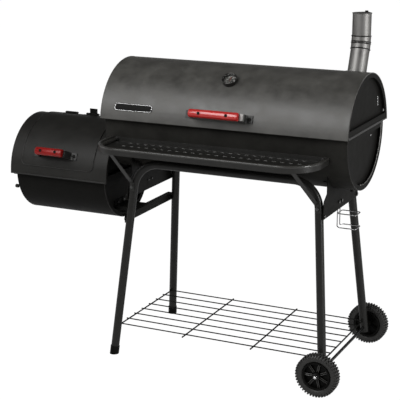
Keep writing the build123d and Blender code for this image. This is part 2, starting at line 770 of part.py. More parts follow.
def tyre():
    """A solid tyre with cross lugs that run out to its shoulders."""
    points = []
    for lug in range(LUGS):
        for share, depth in ((0, LUG_DEPTH), (0.3, LUG_DEPTH), (0.4, 0), (0.9, 0)):
            turn = 2 * math.pi * (lug + share) / LUGS
            points.append(((TYRE_R - depth) * math.cos(turn), (TYRE_R - depth) * math.sin(turn)))
    low = TYRE_MID - TYRE_W / 2
    lugs = Pos(0, 0, low) * extrude(make_face(Polyline(*points, close=True)), amount=TYRE_W)
    blank = Pos(0, 0, TYRE_MID) * Cylinder(TYRE_R, TYRE_W)
    blank = fillet(blank.edges().filter_by(GeomType.CIRCLE), TYRE_ROUND)
    bore = Pos(0, 0, TYRE_MID) * Cylinder(RIM_R, 2 * TYRE_W)
    return (lugs & blank) - bore


def hub():
    """A moulded hub: rim, boss and a closed web with pairs of ribs."""
    rim_out = RIM_R - SEAT
    rim_in = rim_out - HUB_RIM_T
    rim = Pos(0, 0, TYRE_MID) * (Cylinder(rim_out, HUB_RIM_W) - Cylinder(rim_in, HUB_RIM_W))
    web = Pos(0, 0, TYRE_MID) * Cylinder(rim_in + HUB_RIM_T / 2, HUB_WEB)
    spoke_len = rim_in + HUB_RIM_T / 2
    for step in range(SPOKES):
        turn = Rot(0, 0, 360 * (step + 0.5) / SPOKES)
        for y in (-RIB_APART / 2, RIB_APART / 2):
            web += turn * Pos(spoke_len / 2, y, TYRE_MID) * Box(spoke_len, RIB_W, SPOKE_H)
    boss = Pos(0, 0, HUB_LEN / 2) * Cylinder(HUB_BOSS_R, HUB_LEN)
    return rim + web + boss - Pos(0, 0, HUB_LEN / 2) * Cylinder(AXLE_R + RUN, 2 * HUB_LEN)


def axle_nuts():
    """Inner washers, outer washers and domed cap nuts on both axle ends."""
    pieces = []
    for side in (-1, 1):
        place = wheel_place(side)
        washer = Cylinder(WASHER_R, WASHER_T) - Cylinder(AXLE_R + RUN, 2 * WASHER_T)
        pieces.append(place * Pos(0, 0, -CLEAR - WASHER_T / 2) * washer)
        pieces.append(place * Pos(0, 0, HUB_LEN + CLEAR + WASHER_T / 2) * washer)
        nut_low = HUB_LEN + CLEAR + WASHER_T
        nut = Pos(0, 0, AXLE_R / 2) * Cylinder(CAP_NUT_R, AXLE_R) + Pos(0, 0, AXLE_R) * Sphere(CAP_DOME_R)
        nut = split(nut, bisect_by=Plane.XY, keep=Keep.TOP)
        socket = Cylinder(AXLE_R + RUN, 2 * AXLE_R + 2 * RUN)
        pieces.append(place * Pos(0, 0, nut_low) * (nut - socket))
    return joined(pieces)


nodes["axle"] = rod_y(AXLE_X, AXLE_Z, AXLE_R, -AXLE_END, AXLE_END)
nodes["axle_nuts"] = axle_nuts()
for name, side in (("front", -1), ("rear", 1)):
    nodes[name + "_tyre"] = wheel_place(side) * tyre()
    nodes[name + "_hub"] = wheel_place(side) * hub()


# Grease cup holder: a bent wire seat and a ring that hang inside the right saddle plate

def grease_cup_holder():
    """Two uprights with eyes on their bolts, run out into a seat, with a ring above it."""
    x = saddle_face(RIGHT_SADDLE_LOW) - SEAT - CUP_WIRE_R
    far = x + CUP_OUT
    low, high = CUP_Y
    wide_low, wide_high = low - CUP_FLARE, high + CUP_FLARE
    eye_r = BOLT_R + SEAT + CUP_WIRE_R
    top = CUP_TOP - eye_r
    seat = [(x, low, top), (x, low, CUP_FLOOR), (x + CUP_FLARE, wide_low, CUP_FLOOR)]
    seat += [(far, wide_low, CUP_FLOOR), (far, wide_high, CUP_FLOOR)]
    seat += [(x + CUP_FLARE, wide_high, CUP_FLOOR), (x, high, CUP_FLOOR), (x, high, top)]
    holder = rod_along(FilletPolyline(*seat, radius=2 * CUP_WIRE_R), CUP_WIRE_R)
    near = x + 2 * CUP_WIRE_R - WELD
    level = Plane(origin=((near + far) / 2, (low + high) / 2, CUP_RING))
    ring = level * RectangleRounded(far - near, wide_high - wide_low, 4 * CUP_WIRE_R)
    holder += rod_along(ring.face().outer_wire(), CUP_WIRE_R)
    for y in CUP_Y:
        holder += Pos(x, y, CUP_TOP) * Rot(0, 90, 0) * Torus(eye_r, CUP_WIRE_R)
    return holder


nodes["grease_cup_holder"] = grease_cup_holder()


# Lid: shell, ends and hinges

LID_END = LID_LEN / 2
nodes["lid_shell"] = along_x(half_shell(LID_R, AXIS_Z, SPLIT_Z, True), -LID_END, LID_END)
end_r = LID_R - SHEET - SEAT
nodes["lid_end_left"] = pressed_end(end_r, AXIS_Z, SPLIT_Z, LID_BAND, -LID_END, 1, True)
nodes["lid_end_right"] = pressed_end(end_r, AXIS_Z, SPLIT_Z, LID_BAND, LID_END, -1, True)

PIN_OUT = KNUCKLE_R + 1  # hinge pin outside the shell it lies on
lid_pin_angle = 180 - math.degrees(math.asin((SPLIT_RISE + LEAF) / (LID_R + PIN_OUT)))
LID_PIN = polar(LID_R + PIN_OUT, lid_pin_angle, AXIS_Z)
door_pin_angle = DOOR_TOP_ANGLE + math.degrees((KNUCKLE_R + PIN_OUT) / DOOR_R)
DOOR_PIN = polar(DOOR_R + PIN_OUT, door_pin_angle, FIRE_Z)


def arc_leaf(radius, thick, low, high, z):
    """A hinge leaf's strip bedded on a drum."""
    return arc_band(radius + SEAT, radius + SEAT + thick, low, high, z)


def lid_hinges():
    """Moving leaves on the lid, fixed leaves under the drum's rim, and pins."""
    span = math.degrees(LEAF_LEN / LID_R)
    moving_strip = arc_leaf(LID_R, LEAF, lid_pin_angle - span, lid_pin_angle, AXIS_Z)
    under = BODY_TOP - SHEET - SEAT
    pin_y, pin_z = LID_PIN
    fixed_strip = yz_box(pin_y - LEAF_LEN / 2, pin_y, under - LEAF, under)
    fixed_strip += yz_box(pin_y - KNUCKLE_R / 2, pin_y + KNUCKLE_R / 2, under - LEAF, pin_z)
    moving, fixed, pins = [], [], []
    for x in (-HINGE_X, HINGE_X):
        own, other = knuckle_spans(x, HINGE_LEN)
        fixed.append(hinge_leaf(fixed_strip, x, HINGE_LEN, LID_PIN, own, other))
        moving.append(hinge_leaf(moving_strip, x, HINGE_LEN, LID_PIN, other, own))
        pins.append(hinge_pin(x, HINGE_LEN, LID_PIN))
    return moving, fixed, pins


def door_hinges():
    """Moving leaves on the door, fixed leaves on the hood, and pins. One fixed leaf has the door stop."""
    span = math.degrees(LEAF_LEN / HOOD_R) / 2
    moving_strip = arc_leaf(DOOR_R, LEAF, door_pin_angle - span, door_pin_angle, FIRE_Z)
    fixed_strip = arc_leaf(HOOD_R, LEAF + CLEAR + SHEET, door_pin_angle, door_pin_angle + span, FIRE_Z)
    moving, fixed, pins = [], [], []
    for offset in DOOR_HINGE_X:
        x = HOOD_MID + offset
        own, other = knuckle_spans(x, DOOR_HINGE_LEN)
        leaf = hinge_leaf(fixed_strip, x, DOOR_HINGE_LEN, DOOR_PIN, own, other)
        if offset == max(DOOR_HINGE_X):
            stop_y = DOOR_PIN[0] + PIN_OUT
            base = polar(HOOD_R + SHEET, door_pin_angle + span / 2, FIRE_Z)[1]
            stop = yz_box(stop_y, stop_y + STRAP_T, base, DOOR_PIN[1] + STOP_H)
            leaf += along_x(stop, x - STOP_W / 2, x + STOP_W / 2)
        fixed.append(leaf)
        moving.append(hinge_leaf(moving_strip, x, DOOR_HINGE_LEN, DOOR_PIN, other, own))
        pins.append(hinge_pin(x, DOOR_HINGE_LEN, DOOR_PIN))
    return moving, fixed, pins


lid_leaves, drum_leaves, lid_pins = lid_hinges()
door_leaves, hood_leaves, door_pins = door_hinges()
nodes["lid_hinge_leaves"] = joined(lid_leaves)
nodes["door_hinge_leaves"] = joined(door_leaves)
nodes["fixed_hinge_leaves"] = joined(drum_leaves + hood_leaves)
nodes["hinge_pins"] = joined(lid_pins + door_pins)


# Handles: a bent steel strap with a painted wooden grip on it

def handle(prefix, place, grip_len, shell):
    """Strap, grip and screws on a plane that touches the shell. shell is the piece it stands on."""
    half = grip_len / 2
    foot = half + STRAP_SPLAY
    rise = SEAT + STRAP_T / 2 + STRAP_RISE
    low = SEAT + STRAP_T / 2
    profile = [(-foot - STRAP_FOOT, low), (-foot, low), (-half, rise), (half, rise), (foot, low),
               (foot + STRAP_FOOT, low)]
    points = [place.from_local_coords((x, 0, height)) for x, height in profile]
    nodes[prefix + "_handle_strap"] = bent_strip(points, STRAP_BEND, STRAP_W, STRAP_T, place.y_dir)

    seat = rise + STRAP_T / 2
    block = Box(grip_len, GRIP_W, GRIP_T, align=(Align.CENTER, Align.CENTER, Align.MIN))
    block = fillet(block.edges().filter_by(Axis.Z) + block.edges().group_by(Axis.Z)[-1], GRIP_ROUND)
    nodes[prefix + "_grip"] = place.offset(seat).location * block

    group = prefix + "_screws"
    spot = half * (1 - 2 * SCREW_INSET)
    for x in (-spot, spot):
        head = Plane(place.offset(seat + GRIP_T).location * Pos(x, 0, -SCREW_R))
        pocket = extrude(head * Circle(SCREW_HEAD_R + SEAT), amount=2 * SCREW_R)
        nodes[prefix + "_grip"] -= pocket
        pair = [prefix + "_grip", prefix + "_handle_strap"]
        fasten(group, head, GRIP_T + STRAP_T - SCREW_R, SCREW_R, pair, SCREW_HEAD_R, SCREW_R * 0.8)
    for x in (-foot - STRAP_FOOT / 2, foot + STRAP_FOOT / 2):
        head = Plane(place.offset(low + STRAP_T / 2).location * Pos(x, 0, 0))
        fasten(group, head, STRAP_T + SHEET + 2 * SEAT, BOLT_R, [prefix + "_handle_strap", shell])


handle("lid", radial_plane(0, LID_GRIP_ANGLE, LID_R, AXIS_Z), LID_GRIP, "lid_shell")
door_middle = HOOD_MID + DOOR_GRIP_SHIFT
handle("door", radial_plane(door_middle, DOOR_GRIP_ANGLE, DOOR_R, FIRE_Z), DOOR_GRIP, "door_panel")


# Nameplate, left blank

def nameplate():
    """A thin plate bedded on the lid, with rounded corners."""
    half = math.degrees(NAME_H / 2 / LID_R)
    band = arc_band(LID_R + SEAT, LID_R + SEAT + SHEET, NAME_ANGLE - half, NAME_ANGLE + half, AXIS_Z)
    plate = along_x(band, NAME_X - NAME_LEN / 2, NAME_X + NAME_LEN / 2)
    corners = [edge for edge in plate.edges() if abs(edge.length - SHEET) < SEAT]
    return fillet(corners, NAME_ROUND)


nodes["nameplate"] = nameplate()


# Thermometer

def thermometer():
    """Case with its stem through the lid, dial, needle and lens, along the plane's normal."""
    place = radial_plane(THERMO_X, THERMO_ANGLE, LID_R, AXIS_Z).offset(SEAT).location
    inner = THERMO_R - THERMO_WALL
    stand = (Align.CENTER, Align.CENTER, Align.MIN)
    case = Cylinder(THERMO_R, THERMO_H, align=stand)
    case = fillet(case.edges().group_by(Axis.Z)[-1], THERMO_WALL / 2)
    case -= Pos(0, 0, THERMO_WALL) * Cylinder(inner, THERMO_H, align=stand)
    case += Pos(0, 0, -STEM_LEN) * Cylinder(STEM_R, STEM_LEN + THERMO_WALL, align=stand)
    dial_z = THERMO_WALL + SEAT
    needle_z = dial_z + DIAL_T + CLEAR
    lens_z = THERMO_H - THERMO_WALL - LENS_T
    dial = Pos(0, 0, dial_z) * Cylinder(inner - SEAT, DIAL_T, align=stand)
    post = Pos(0, 0, dial_z) * Cylinder(NEEDLE_W / 2, lens_z - dial_z - CLEAR, align=stand)
    arm = Pos(0, NEEDLE_LEN / 2 - NEEDLE_W, 0) * Box(NEEDLE_W, NEEDLE_LEN, NEEDLE_T, align=stand)
    arm += Cylinder(NEEDLE_W, NEEDLE_T, align=stand)
    arm -= Cylinder(NEEDLE_W / 2 + RUN, 2 * NEEDLE_T)
    lens = Pos(0, 0, lens_z) * Cylinder(inner - SEAT, LENS_T, align=stand)
    nodes["thermometer_case"] = place * case
    nodes["thermometer_dial"] = place * (dial + post)
    nodes["thermometer_needle"] = place * Pos(0, 0, needle_z) * arm
    nodes["thermometer_lens"] = place * lens
    nodes["lid_shell"] -= place * Cylinder(STEM_R + SEAT, 2 * STEM_LEN)


thermometer()


# Chimney: lower pipe square to the lid, elbow rings that turn it upright, upper pipe

def leaned(lean):
    """The direction at an angle behind the vertical."""
    return Vector(0, math.sin(math.radians(lean)), math.cos(math.radians(lean)))


def pipe_run(start, end, low_lean, high_lean, radius):
    """A length of pipe between two points, mitred at each end against the pipe beyond it."""
    line = end - start
    reach = line.length + 4 * STACK_R
    middle = Plane(origin=start - line.normalized() * 2 * STACK_R, z_dir=line)
    pipe = extrude(middle * (Circle(radius) - Circle(STACK_R - STACK_WALL)), amount=reach)
    pipe = split(pipe, bisect_by=Plane(origin=start, z_dir=leaned(low_lean)), keep=Keep.TOP)
    return split(pipe, bisect_by=Plane(origin=end, z_dir=leaned(high_lean)), keep=Keep.BOTTOM)


stack_base = Vector(STACK_X, *polar(LID_R, 90 + STACK_LEAN, AXIS_Z))
stack_step = STACK_LEAN / (RING_COUNT + 1)


def chimney():
    """Pipes, elbow rings and the collar on the lid."""
    joint = stack_base + leaned(STACK_LEAN) * STACK_LOWER
    lower = pipe_run(stack_base, joint, STACK_LEAN, STACK_LEAN - stack_step / 2, STACK_R)
    skirt = Plane(origin=stack_base, z_dir=leaned(STACK_LEAN))
    drop = extrude(skirt * (Circle(STACK_R) - Circle(STACK_R - STACK_WALL)), amount=-STACK_R / 2)
    lid_drum = rod_x(0, AXIS_Z, LID_R + SEAT, 0, LID_LEN)
    nodes["stack_lower_pipe"] = lower + drop - lid_drum
    rings = []
    for step in range(RING_COUNT):
        lean = STACK_LEAN - stack_step * (step + 1)
        end = joint + leaned(lean) * RING_LEN
        low, high = lean + stack_step / 2, lean - stack_step / 2
        rings.append(pipe_run(joint + leaned(lean) * SEAT, end, low, high, STACK_R + RING_PROUD))
        joint = end
    nodes["stack_elbow"] = joined(rings)
    top = joint + Vector(0, 0, STACK_UPPER)
    nodes["stack_upper_pipe"] = pipe_run(joint, top, stack_step / 2, 0, STACK_R)

    ring = arc_band(LID_R + SEAT, LID_R + SEAT + SHEET, 90, 90 + 2 * STACK_LEAN, AXIS_Z)
    collar = along_x(ring, STACK_X - 2 * STACK_R, STACK_X + 2 * STACK_R)
    outside = extrude(skirt * Circle(STACK_R + COLLAR_W), amount=STACK_R, both=True)
    inside = extrude(skirt * Circle(STACK_R + SEAT), amount=STACK_R, both=True)
    nodes["stack_collar"] = (collar & outside) - inside
    bore = extrude(skirt * Circle(STACK_R - STACK_WALL), amount=STACK_R, both=True)
    nodes["lid_shell"] -= bore
    return top


stack_top = chimney()
ear = STACK_R + EAR_OUT
pivot = stack_top + Vector(ear, 0, 0).rotate(Axis.Z, EAR_TURN)


def stack_damper():
    """A plate that lies on the pipe's rim and swings aside about a bolt in an ear on the pipe."""
    rim = Pos(stack_top.X, stack_top.Y)
    spot = Pos(pivot.X, pivot.Y)
    plate = make_hull((rim * Circle(STACK_R + CAP_OVER)).edges() + (spot * Circle(EAR_R)).edges())
    tab = make_hull((rim * Circle(EAR_R)).edges() + (spot * Circle(EAR_R)).edges())
    tab -= rim * Circle(STACK_R - STACK_WALL / 2)
    nodes["stack_upper_pipe"] += Pos(0, 0, stack_top.Z - PLATE) * extrude(tab, amount=PLATE)
    low = stack_top.Z + CLEAR
    plate_hole = spot * Circle(BOLT_R + RUN)
    nodes["stack_damper"] = Pos(0, 0, low) * extrude(plate - plate_hole, amount=SHEET)
    head = Plane(origin=(pivot.X, pivot.Y, low + SHEET + CLEAR))
    fasten("lid_screws", head, SHEET + PLATE + 2 * CLEAR + BOLT_R, BOLT_R, ["stack_upper_pipe"])


stack_damper()


# Air damper: a disc that turns over three holes in the firebox's left end

AIR_Z = FIRE_Z - AIR_DROP
air_panel_x = FIRE_X0 + RECESS


def air_ring(count, radius):
    """The air holes about the damper's pivot."""
    holes = Part()
    for step in range(count):
        turn = math.radians(360 * step / count + 90)
        y = AIR_Y + AIR_HOLE_AT * math.cos(turn)
        z = AIR_Z + AIR_HOLE_AT * math.sin(turn)
        holes += rod_x(y, z, radius, air_panel_x - 3 * SHEET, air_panel_x + 3 * SHEET)
    return holes


def air_damper():
    """The disc with its holes and its knob."""
    high = air_panel_x - CLEAR
    disc = rod_x(AIR_Y, AIR_Z, AIR_R, high - SHEET, high) - air_ring(AIR_HOLES, AIR_HOLE_R)
    disc -= rod_x(AIR_Y, AIR_Z, BOLT_R + RUN, high - 2 * SHEET, high + SHEET)
    turn = math.radians(KNOB_TURN)
    y = AIR_Y + KNOB_AT * math.cos(turn)
    z = AIR_Z + KNOB_AT * math.sin(turn)
    tip = high - SHEET - KNOB_LEN
    stem = rod_x(y, z, KNOB_R / 2, tip, high - SHEET / 2)
    ball = rod_x(y, z, KNOB_R, tip, tip + 2 * KNOB_R)
    ball = fillet(ball.edges().filter_by(GeomType.CIRCLE), KNOB_ROUND)
    return disc + stem + ball


nodes["firebox_body_end_left"] -= air_ring(AIR_HOLES, AIR_HOLE_R)
nodes["air_damper"] = air_damper()
pivot_at = (air_panel_x - 2 * CLEAR - SHEET, AIR_Y, AIR_Z)
pivot_head = Plane(origin=pivot_at, x_dir=(0, 1, 0), z_dir=(-1, 0, 0))
fasten("frame_bolts", pivot_head, 2 * SHEET + 3 * CLEAR + BOLT_R, BOLT_R, ["firebox_body_end_left"])


# Bolts of the stand

def frame_bolts():
    """Bolts that join the stand, the drum, the firebox and the shelf."""
    wall = LEG_R * LEG_LEAN
    leg_frames = ((-1, "front_leg_frame"), (1, "rear_leg_frame"))
    saddles = ((-1, LEFT_SADDLE_LOW, "left_saddle_plate"), (1, RIGHT_SADDLE_LOW, "right_saddle_plate"))
    for side, low, name in saddles:
        face = side * (saddle_face(low) + PLATE)
        z = low + 3 * BOLT_R
        for y_side, frame in leg_frames:
            head = Plane(origin=(face, y_side * leg_at(z)[1], z), x_dir=(0, 1, 0), z_dir=(side, 0, 0))
            fasten("frame_bolts", head, PLATE + wall, BOLT_R, [name, frame])
        for y in CUP_Y:
            head = Plane(origin=(face, y, CUP_TOP), x_dir=(0, 1, 0), z_dir=(side, 0, 0))
            fasten("frame_bolts", head, PLATE + BOLT_R, BOLT_R, [name])
    z = BAR_LOW + BAR_H / 2
    for y_side, frame in leg_frames:
        head = Plane(origin=(BAR_X - PLATE, y_side * leg_at(z)[1], z), x_dir=(0, 1, 0), z_dir=(-1, 0, 0))
        fasten("frame_bolts", head, PLATE + wall, BOLT_R, ["firebox_bracket", frame])
    tab_bolt_z = BAR_LOW + BAR_H + TAB_RISE / 2
    for y in (TONGUE_Y - TONGUE_HALF / 2, TONGUE_Y + TONGUE_HALF / 2):
        head = Plane(origin=(TAB_X + PLATE, y, tab_bolt_z), x_dir=(0, 1, 0), z_dir=(1, 0, 0))
        fasten("frame_bolts", head, 2 * PLATE + SHEET, BOLT_R, ["firebox_bracket", "firebox_body_end_right"])
    braces = ((-1, left_top, "left_shelf_brace"), (1, right_top, "right_shelf_brace"))
    for side, top_x, name in braces:
        slope = brace_slope(side, top_x)
        drop = FOOT_Y - RUN_Y
        outward = Vector(slope * drop, -RUN_Z * (1 + slope ** 2), drop).normalized()
        middle = Vector(side * BRACE_X, brace_y(BRACE_BOLT_Z), BRACE_BOLT_Z)
        head = Plane(origin=middle + outward * (BRACE_T / 2), x_dir=(1, 0, -slope), z_dir=outward)
        fasten("frame_bolts", head, BRACE_T + wall, BOLT_R, [name, "front_leg_frame"])
        bolt_x = SHELF_X + side * (SHELF_LEN / 2 - SHELF_BOLT_IN)
        spot = (bolt_x, -SHELF_BACK - SHEET, SHELF_Z - SHELF_DIP / 2)
        head = Plane(origin=spot, x_dir=(1, 0, 0), z_dir=(0, -1, 0))
        fasten("frame_bolts", head, SHELF_DIP, BOLT_R, ["front_shelf", "main_body"])


frame_bolts()


# Every piece is moved together so that the middle of the footprint is the origin

whole = Compound(children=[solid for part in nodes.values() for solid in part.solids()])
extent = whole.bounding_box()
to_origin = Pos(-extent.center().X, -extent.center().Y, -extent.min.Z)
os.makedirs("parts", exist_ok=True)
for name, part in nodes.items():
    export_step(to_origin * Compound(part.solids()), "parts/" + name + ".step")
print("moved by", to_origin.position, "size", extent.size)
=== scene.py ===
# %% [markdown]
# The object is an offset smoker: a barrel with a hinged lid for the food, and a smaller firebox set low
# at its left end. The frame already holds every rigid piece at its real size, so this lesson does what is
# left: it sets up the camera and a studio, mixes the paints and metals, and models the rolled seams,
# beads and marks that a sheet metal shop adds last.

# %% Load the frame
import json
import math

import bmesh
import bpy
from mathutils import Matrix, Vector


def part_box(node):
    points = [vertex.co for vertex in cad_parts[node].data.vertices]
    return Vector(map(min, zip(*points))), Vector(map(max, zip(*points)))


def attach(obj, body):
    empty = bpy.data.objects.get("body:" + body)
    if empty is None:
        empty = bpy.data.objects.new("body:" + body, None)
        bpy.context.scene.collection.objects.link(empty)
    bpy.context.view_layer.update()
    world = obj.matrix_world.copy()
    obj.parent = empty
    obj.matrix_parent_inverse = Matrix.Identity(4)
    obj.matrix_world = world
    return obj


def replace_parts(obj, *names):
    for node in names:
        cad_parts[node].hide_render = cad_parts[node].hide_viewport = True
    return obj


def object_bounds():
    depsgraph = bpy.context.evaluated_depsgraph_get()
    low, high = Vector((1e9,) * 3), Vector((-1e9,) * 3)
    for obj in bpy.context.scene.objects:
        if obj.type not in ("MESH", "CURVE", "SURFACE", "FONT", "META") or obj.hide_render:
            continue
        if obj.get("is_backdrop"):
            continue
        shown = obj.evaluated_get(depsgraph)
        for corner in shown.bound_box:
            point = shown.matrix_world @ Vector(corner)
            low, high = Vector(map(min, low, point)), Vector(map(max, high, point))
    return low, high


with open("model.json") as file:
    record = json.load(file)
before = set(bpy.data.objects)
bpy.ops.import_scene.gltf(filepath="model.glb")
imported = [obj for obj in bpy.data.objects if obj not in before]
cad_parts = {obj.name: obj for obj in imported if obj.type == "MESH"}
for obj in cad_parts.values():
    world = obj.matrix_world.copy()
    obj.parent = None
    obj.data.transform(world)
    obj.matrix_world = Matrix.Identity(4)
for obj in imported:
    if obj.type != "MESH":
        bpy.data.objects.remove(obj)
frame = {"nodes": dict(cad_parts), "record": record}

cad_low, cad_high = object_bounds()
scene = bpy.context.scene
scene.view_settings.view_transform = "Standard"
print(len(frame["nodes"]), "pieces from", tuple(cad_low), "to", tuple(cad_high))

# %% [markdown]
# Everything round on this smoker is turned about three level centre lines: the lid's, the drum's a little
# above it and the firebox's well below. They are found from the lid's own box, so that each new piece can
# be set on its drum without measuring again.

# %% Centre lines
MM = 0.001
SHEET = 1.5 * MM
SPLIT_RISE = 23 * MM
BODY_RISE = 6 * MM
FIRE_DROP = 204 * MM

lid_low, lid_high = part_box("lid_shell")
lid_middle = (lid_low + lid_high) / 2
lid_axis = Vector((lid_middle.x, lid_middle.y, lid_low.z - SPLIT_RISE))
lid_radius = lid_high.z - lid_axis.z
drum_z = lid_axis.z + BODY_RISE
fire_z = lid_axis.z - FIRE_DROP
print("lid radius", round(lid_radius, 4), "centre line at", tuple(lid_axis))

# %% [markdown]
# The photograph looks down a little from the front right with a long lens, so upright lines stay almost
# upright. The camera's place is kept as an offset from the middle of the lid.

# %% Camera
CAMERA_FROM_LID = Vector((1.5658, -3.6082, 0.7834))
CAMERA_TOWARDS = Vector((-0.4171, 0.8720, -0.2563))
LENS_MM = 107.9
SENSOR_MM = 36
FAR_CLIP = 100

bpy.ops.object.camera_add(location=lid_axis + CAMERA_FROM_LID)
camera = bpy.context.object
camera.rotation_euler = CAMERA_TOWARDS.to_track_quat("-Z", "Y").to_euler()
camera.data.lens = LENS_MM
camera.data.sensor_width = SENSOR_MM
camera.data.clip_end = FAR_CLIP
scene.camera = camera
print("camera at", tuple(round(v, 3) for v in camera.location))

# %% [markdown]
# A studio for dark satin paint is a pale floor, a bright surround low down and a few soft lamps. The
# camera sees the surround as plain white. Shiny surfaces see it pale at the horizon and dark overhead,
# which keeps the tops of the drums dark as in the photograph. What lights the matt surfaces is set apart
# from both, with Light Path.

# %% Surround
WHITE = (1, 1, 1, 1)
HORIZON = 0.8
OVERHEAD = 0.056
FADE_HEIGHT = 0.25
FILL_LIGHT = 0.4


def joined(tree, operation, first, second):
    """Two values joined by a sum, product and so on. Either may be a number."""
    node = tree.nodes.new("ShaderNodeMath")
    node.operation = operation
    for socket, value in zip(node.inputs, (first, second)):
        if isinstance(value, (int, float)):
            socket.default_value = value
        else:
            tree.links.new(value, socket)
    return node.outputs[0]


def seen(tree, by_camera, in_mirrors):
    """One value for camera rays and another for glossy and transmission rays."""
    path = tree.nodes.new("ShaderNodeLightPath").outputs
    shiny = joined(tree, "MAXIMUM", path["Is Glossy Ray"], path["Is Transmission Ray"])
    return joined(tree, "MAXIMUM", joined(tree, "MULTIPLY", path["Is Camera Ray"], by_camera),
                  joined(tree, "MULTIPLY", shiny, in_mirrors))


world = bpy.data.worlds.new("studio_surround")
scene.world = world
world.use_nodes = True
tree = world.node_tree
output = tree.nodes["World Output"]
fill = tree.nodes["Background"]
fill.inputs["Color"].default_value = WHITE
fill.inputs["Strength"].default_value = FILL_LIGHT
backdrop = tree.nodes.new("ShaderNodeBackground")
backdrop.inputs["Color"].default_value = WHITE
direction = tree.nodes.new("ShaderNodeTexCoord")
height = tree.nodes.new("ShaderNodeSeparateXYZ")
fade = tree.nodes.new("ShaderNodeMapRange")
fade.inputs["From Min"].default_value = 0.0
fade.inputs["From Max"].default_value = FADE_HEIGHT
fade.inputs["To Min"].default_value = HORIZON
fade.inputs["To Max"].default_value = OVERHEAD
tree.links.new(direction.outputs["Generated"], height.inputs[0])
tree.links.new(height.outputs["Z"], fade.inputs["Value"])
to_camera = tree.nodes.new("ShaderNodeLightPath").outputs["Is Camera Ray"]
tree.links.new(joined(tree, "MAXIMUM", to_camera, fade.outputs[0]), backdrop.inputs["Strength"])
blend = tree.nodes.new("ShaderNodeMixShader")
tree.links.new(seen(tree, 1, 1), blend.inputs[0])
tree.links.new(fill.outputs[0], blend.inputs[1])
tree.links.new(backdrop.outputs[0], blend.inputs[2])
tree.links.new(blend.outputs[0], output.inputs["Surface"])
print("surround from", HORIZON, "at the horizon to", OVERHEAD, "overhead")

# %% [markdown]
# The floor is a sheet of pale paper that runs far past the object. A real one could be lit until it is
# white, but the object would then be lit too much. So the camera sees mostly a plain glow, and a part of
# the paper's own shading is left in it for the shadow.

# %% Floor
FLOOR_SIZE = 60
FLOOR_COLOUR = (0.6, 0.6, 0.6, 1)
FLOOR_ROUGH = 0.9
GLOW_SEEN = 0.9
GLOW_MIRRORED = 0.15
GLOW_STRENGTH = 1.09

bpy.ops.object.select_all(action="DESELECT")
bpy.ops.mesh.primitive_plane_add(size=FLOOR_SIZE, location=(0, 0, cad_low.z))
floor = bpy.context.object
floor.name = "studio_floor"
paper = bpy.data.materials.new("floor_paper")
paper.use_nodes = True
tree = paper.node_tree
shader = tree.nodes["Principled BSDF"]
shader.inputs["Base Color"].default_value = FLOOR_COLOUR
shader.inputs["Roughness"].default_value = FLOOR_ROUGH
shader.inputs["Specular IOR Level"].default_value = 0.0
glow = tree.nodes.new("ShaderNodeEmission")
glow.inputs["Strength"].default_value = GLOW_STRENGTH
mix = tree.nodes.new("ShaderNodeMixShader")
tree.links.new(seen(tree, GLOW_SEEN, GLOW_MIRRORED), mix.inputs[0])
tree.links.new(shader.outputs[0], mix.inputs[1])
tree.links.new(glow.outputs[0], mix.inputs[2])
tree.links.new(mix.outputs[0], tree.nodes["Material Output"].inputs["Surface"])
floor.data.materials.append(paper)
floor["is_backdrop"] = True
print("floor at height", round(cad_low.z, 4))

# %% [markdown]
# One large soft box stands in front, high and to the left, and makes the broad light band along the lid.
# A narrow strip at the chimney end draws the bright line down the pipe and the rims. The strip on the
# left and the box behind are weak, and only keep those sides from going black.

# %% Lamps


def soft_box(name, azimuth, elevation, distance, width, height, watts):
    """A rectangular lamp that faces the lid. Azimuth 0 is the front and 90 the chimney end, in degrees."""
    turn, rise = math.radians(azimuth), math.radians(elevation)
    away = Vector((math.sin(turn) * math.cos(rise), -math.cos(turn) * math.cos(rise), math.sin(rise)))
    bpy.ops.object.light_add(type="AREA", location=lid_axis + away * distance)
    lamp = bpy.context.object
    lamp.name = name
    lamp.rotation_euler = (-away).to_track_quat("-Z", "Y").to_euler()
    lamp.data.shape = "RECTANGLE"
    lamp.data.size = width
    lamp.data.size_y = height
    lamp.data.energy = watts
    print(name, "at", tuple(round(v, 2) for v in lamp.location), watts, "W")


soft_box("front_box", azimuth=-22, elevation=34, distance=3.6, width=2.3, height=2.0, watts=106)
soft_box("right_strip", azimuth=80, elevation=12, distance=3.2, width=0.35, height=2.2, watts=70)
soft_box("left_strip", azimuth=-80, elevation=14, distance=3.4, width=0.5, height=1.6, watts=8)
soft_box("rear_box", azimuth=140, elevation=24, distance=3.8, width=1.6, height=1.6, watts=30)

# %% [markdown]
# Sprayed paint is never one flat tone. It has a fine orange peel, broad blotches where the coat is
# thicker, and a gloss that follows them. Three noises at those sizes make one shared group. It is fed in
# metres by Object coordinates, so a grain stays the same size on every piece.

# %% Shared group: sprayed coat


def new_group(name, inputs, outputs):
    """An empty shader group with named sockets, and its two end nodes."""
    group = bpy.data.node_groups.new(name, "ShaderNodeTree")
    for label, value in inputs:
        socket = group.interface.new_socket(label, in_out="INPUT", socket_type="NodeSocketFloat")
        socket.default_value = value
    for label, kind in outputs:
        group.interface.new_socket(label, in_out="OUTPUT", socket_type=kind)
    return group, group.nodes.new("NodeGroupInput"), group.nodes.new("NodeGroupOutput")


def noise(tree, where, scale, detail, roughness=0.5):
    """A noise texture on the given coordinates."""
    node = tree.nodes.new("ShaderNodeTexNoise")
    node.inputs["Scale"].default_value = scale
    node.inputs["Detail"].default_value = detail
    node.inputs["Roughness"].default_value = roughness
    tree.links.new(where, node.inputs["Vector"])
    return node.outputs["Fac"]


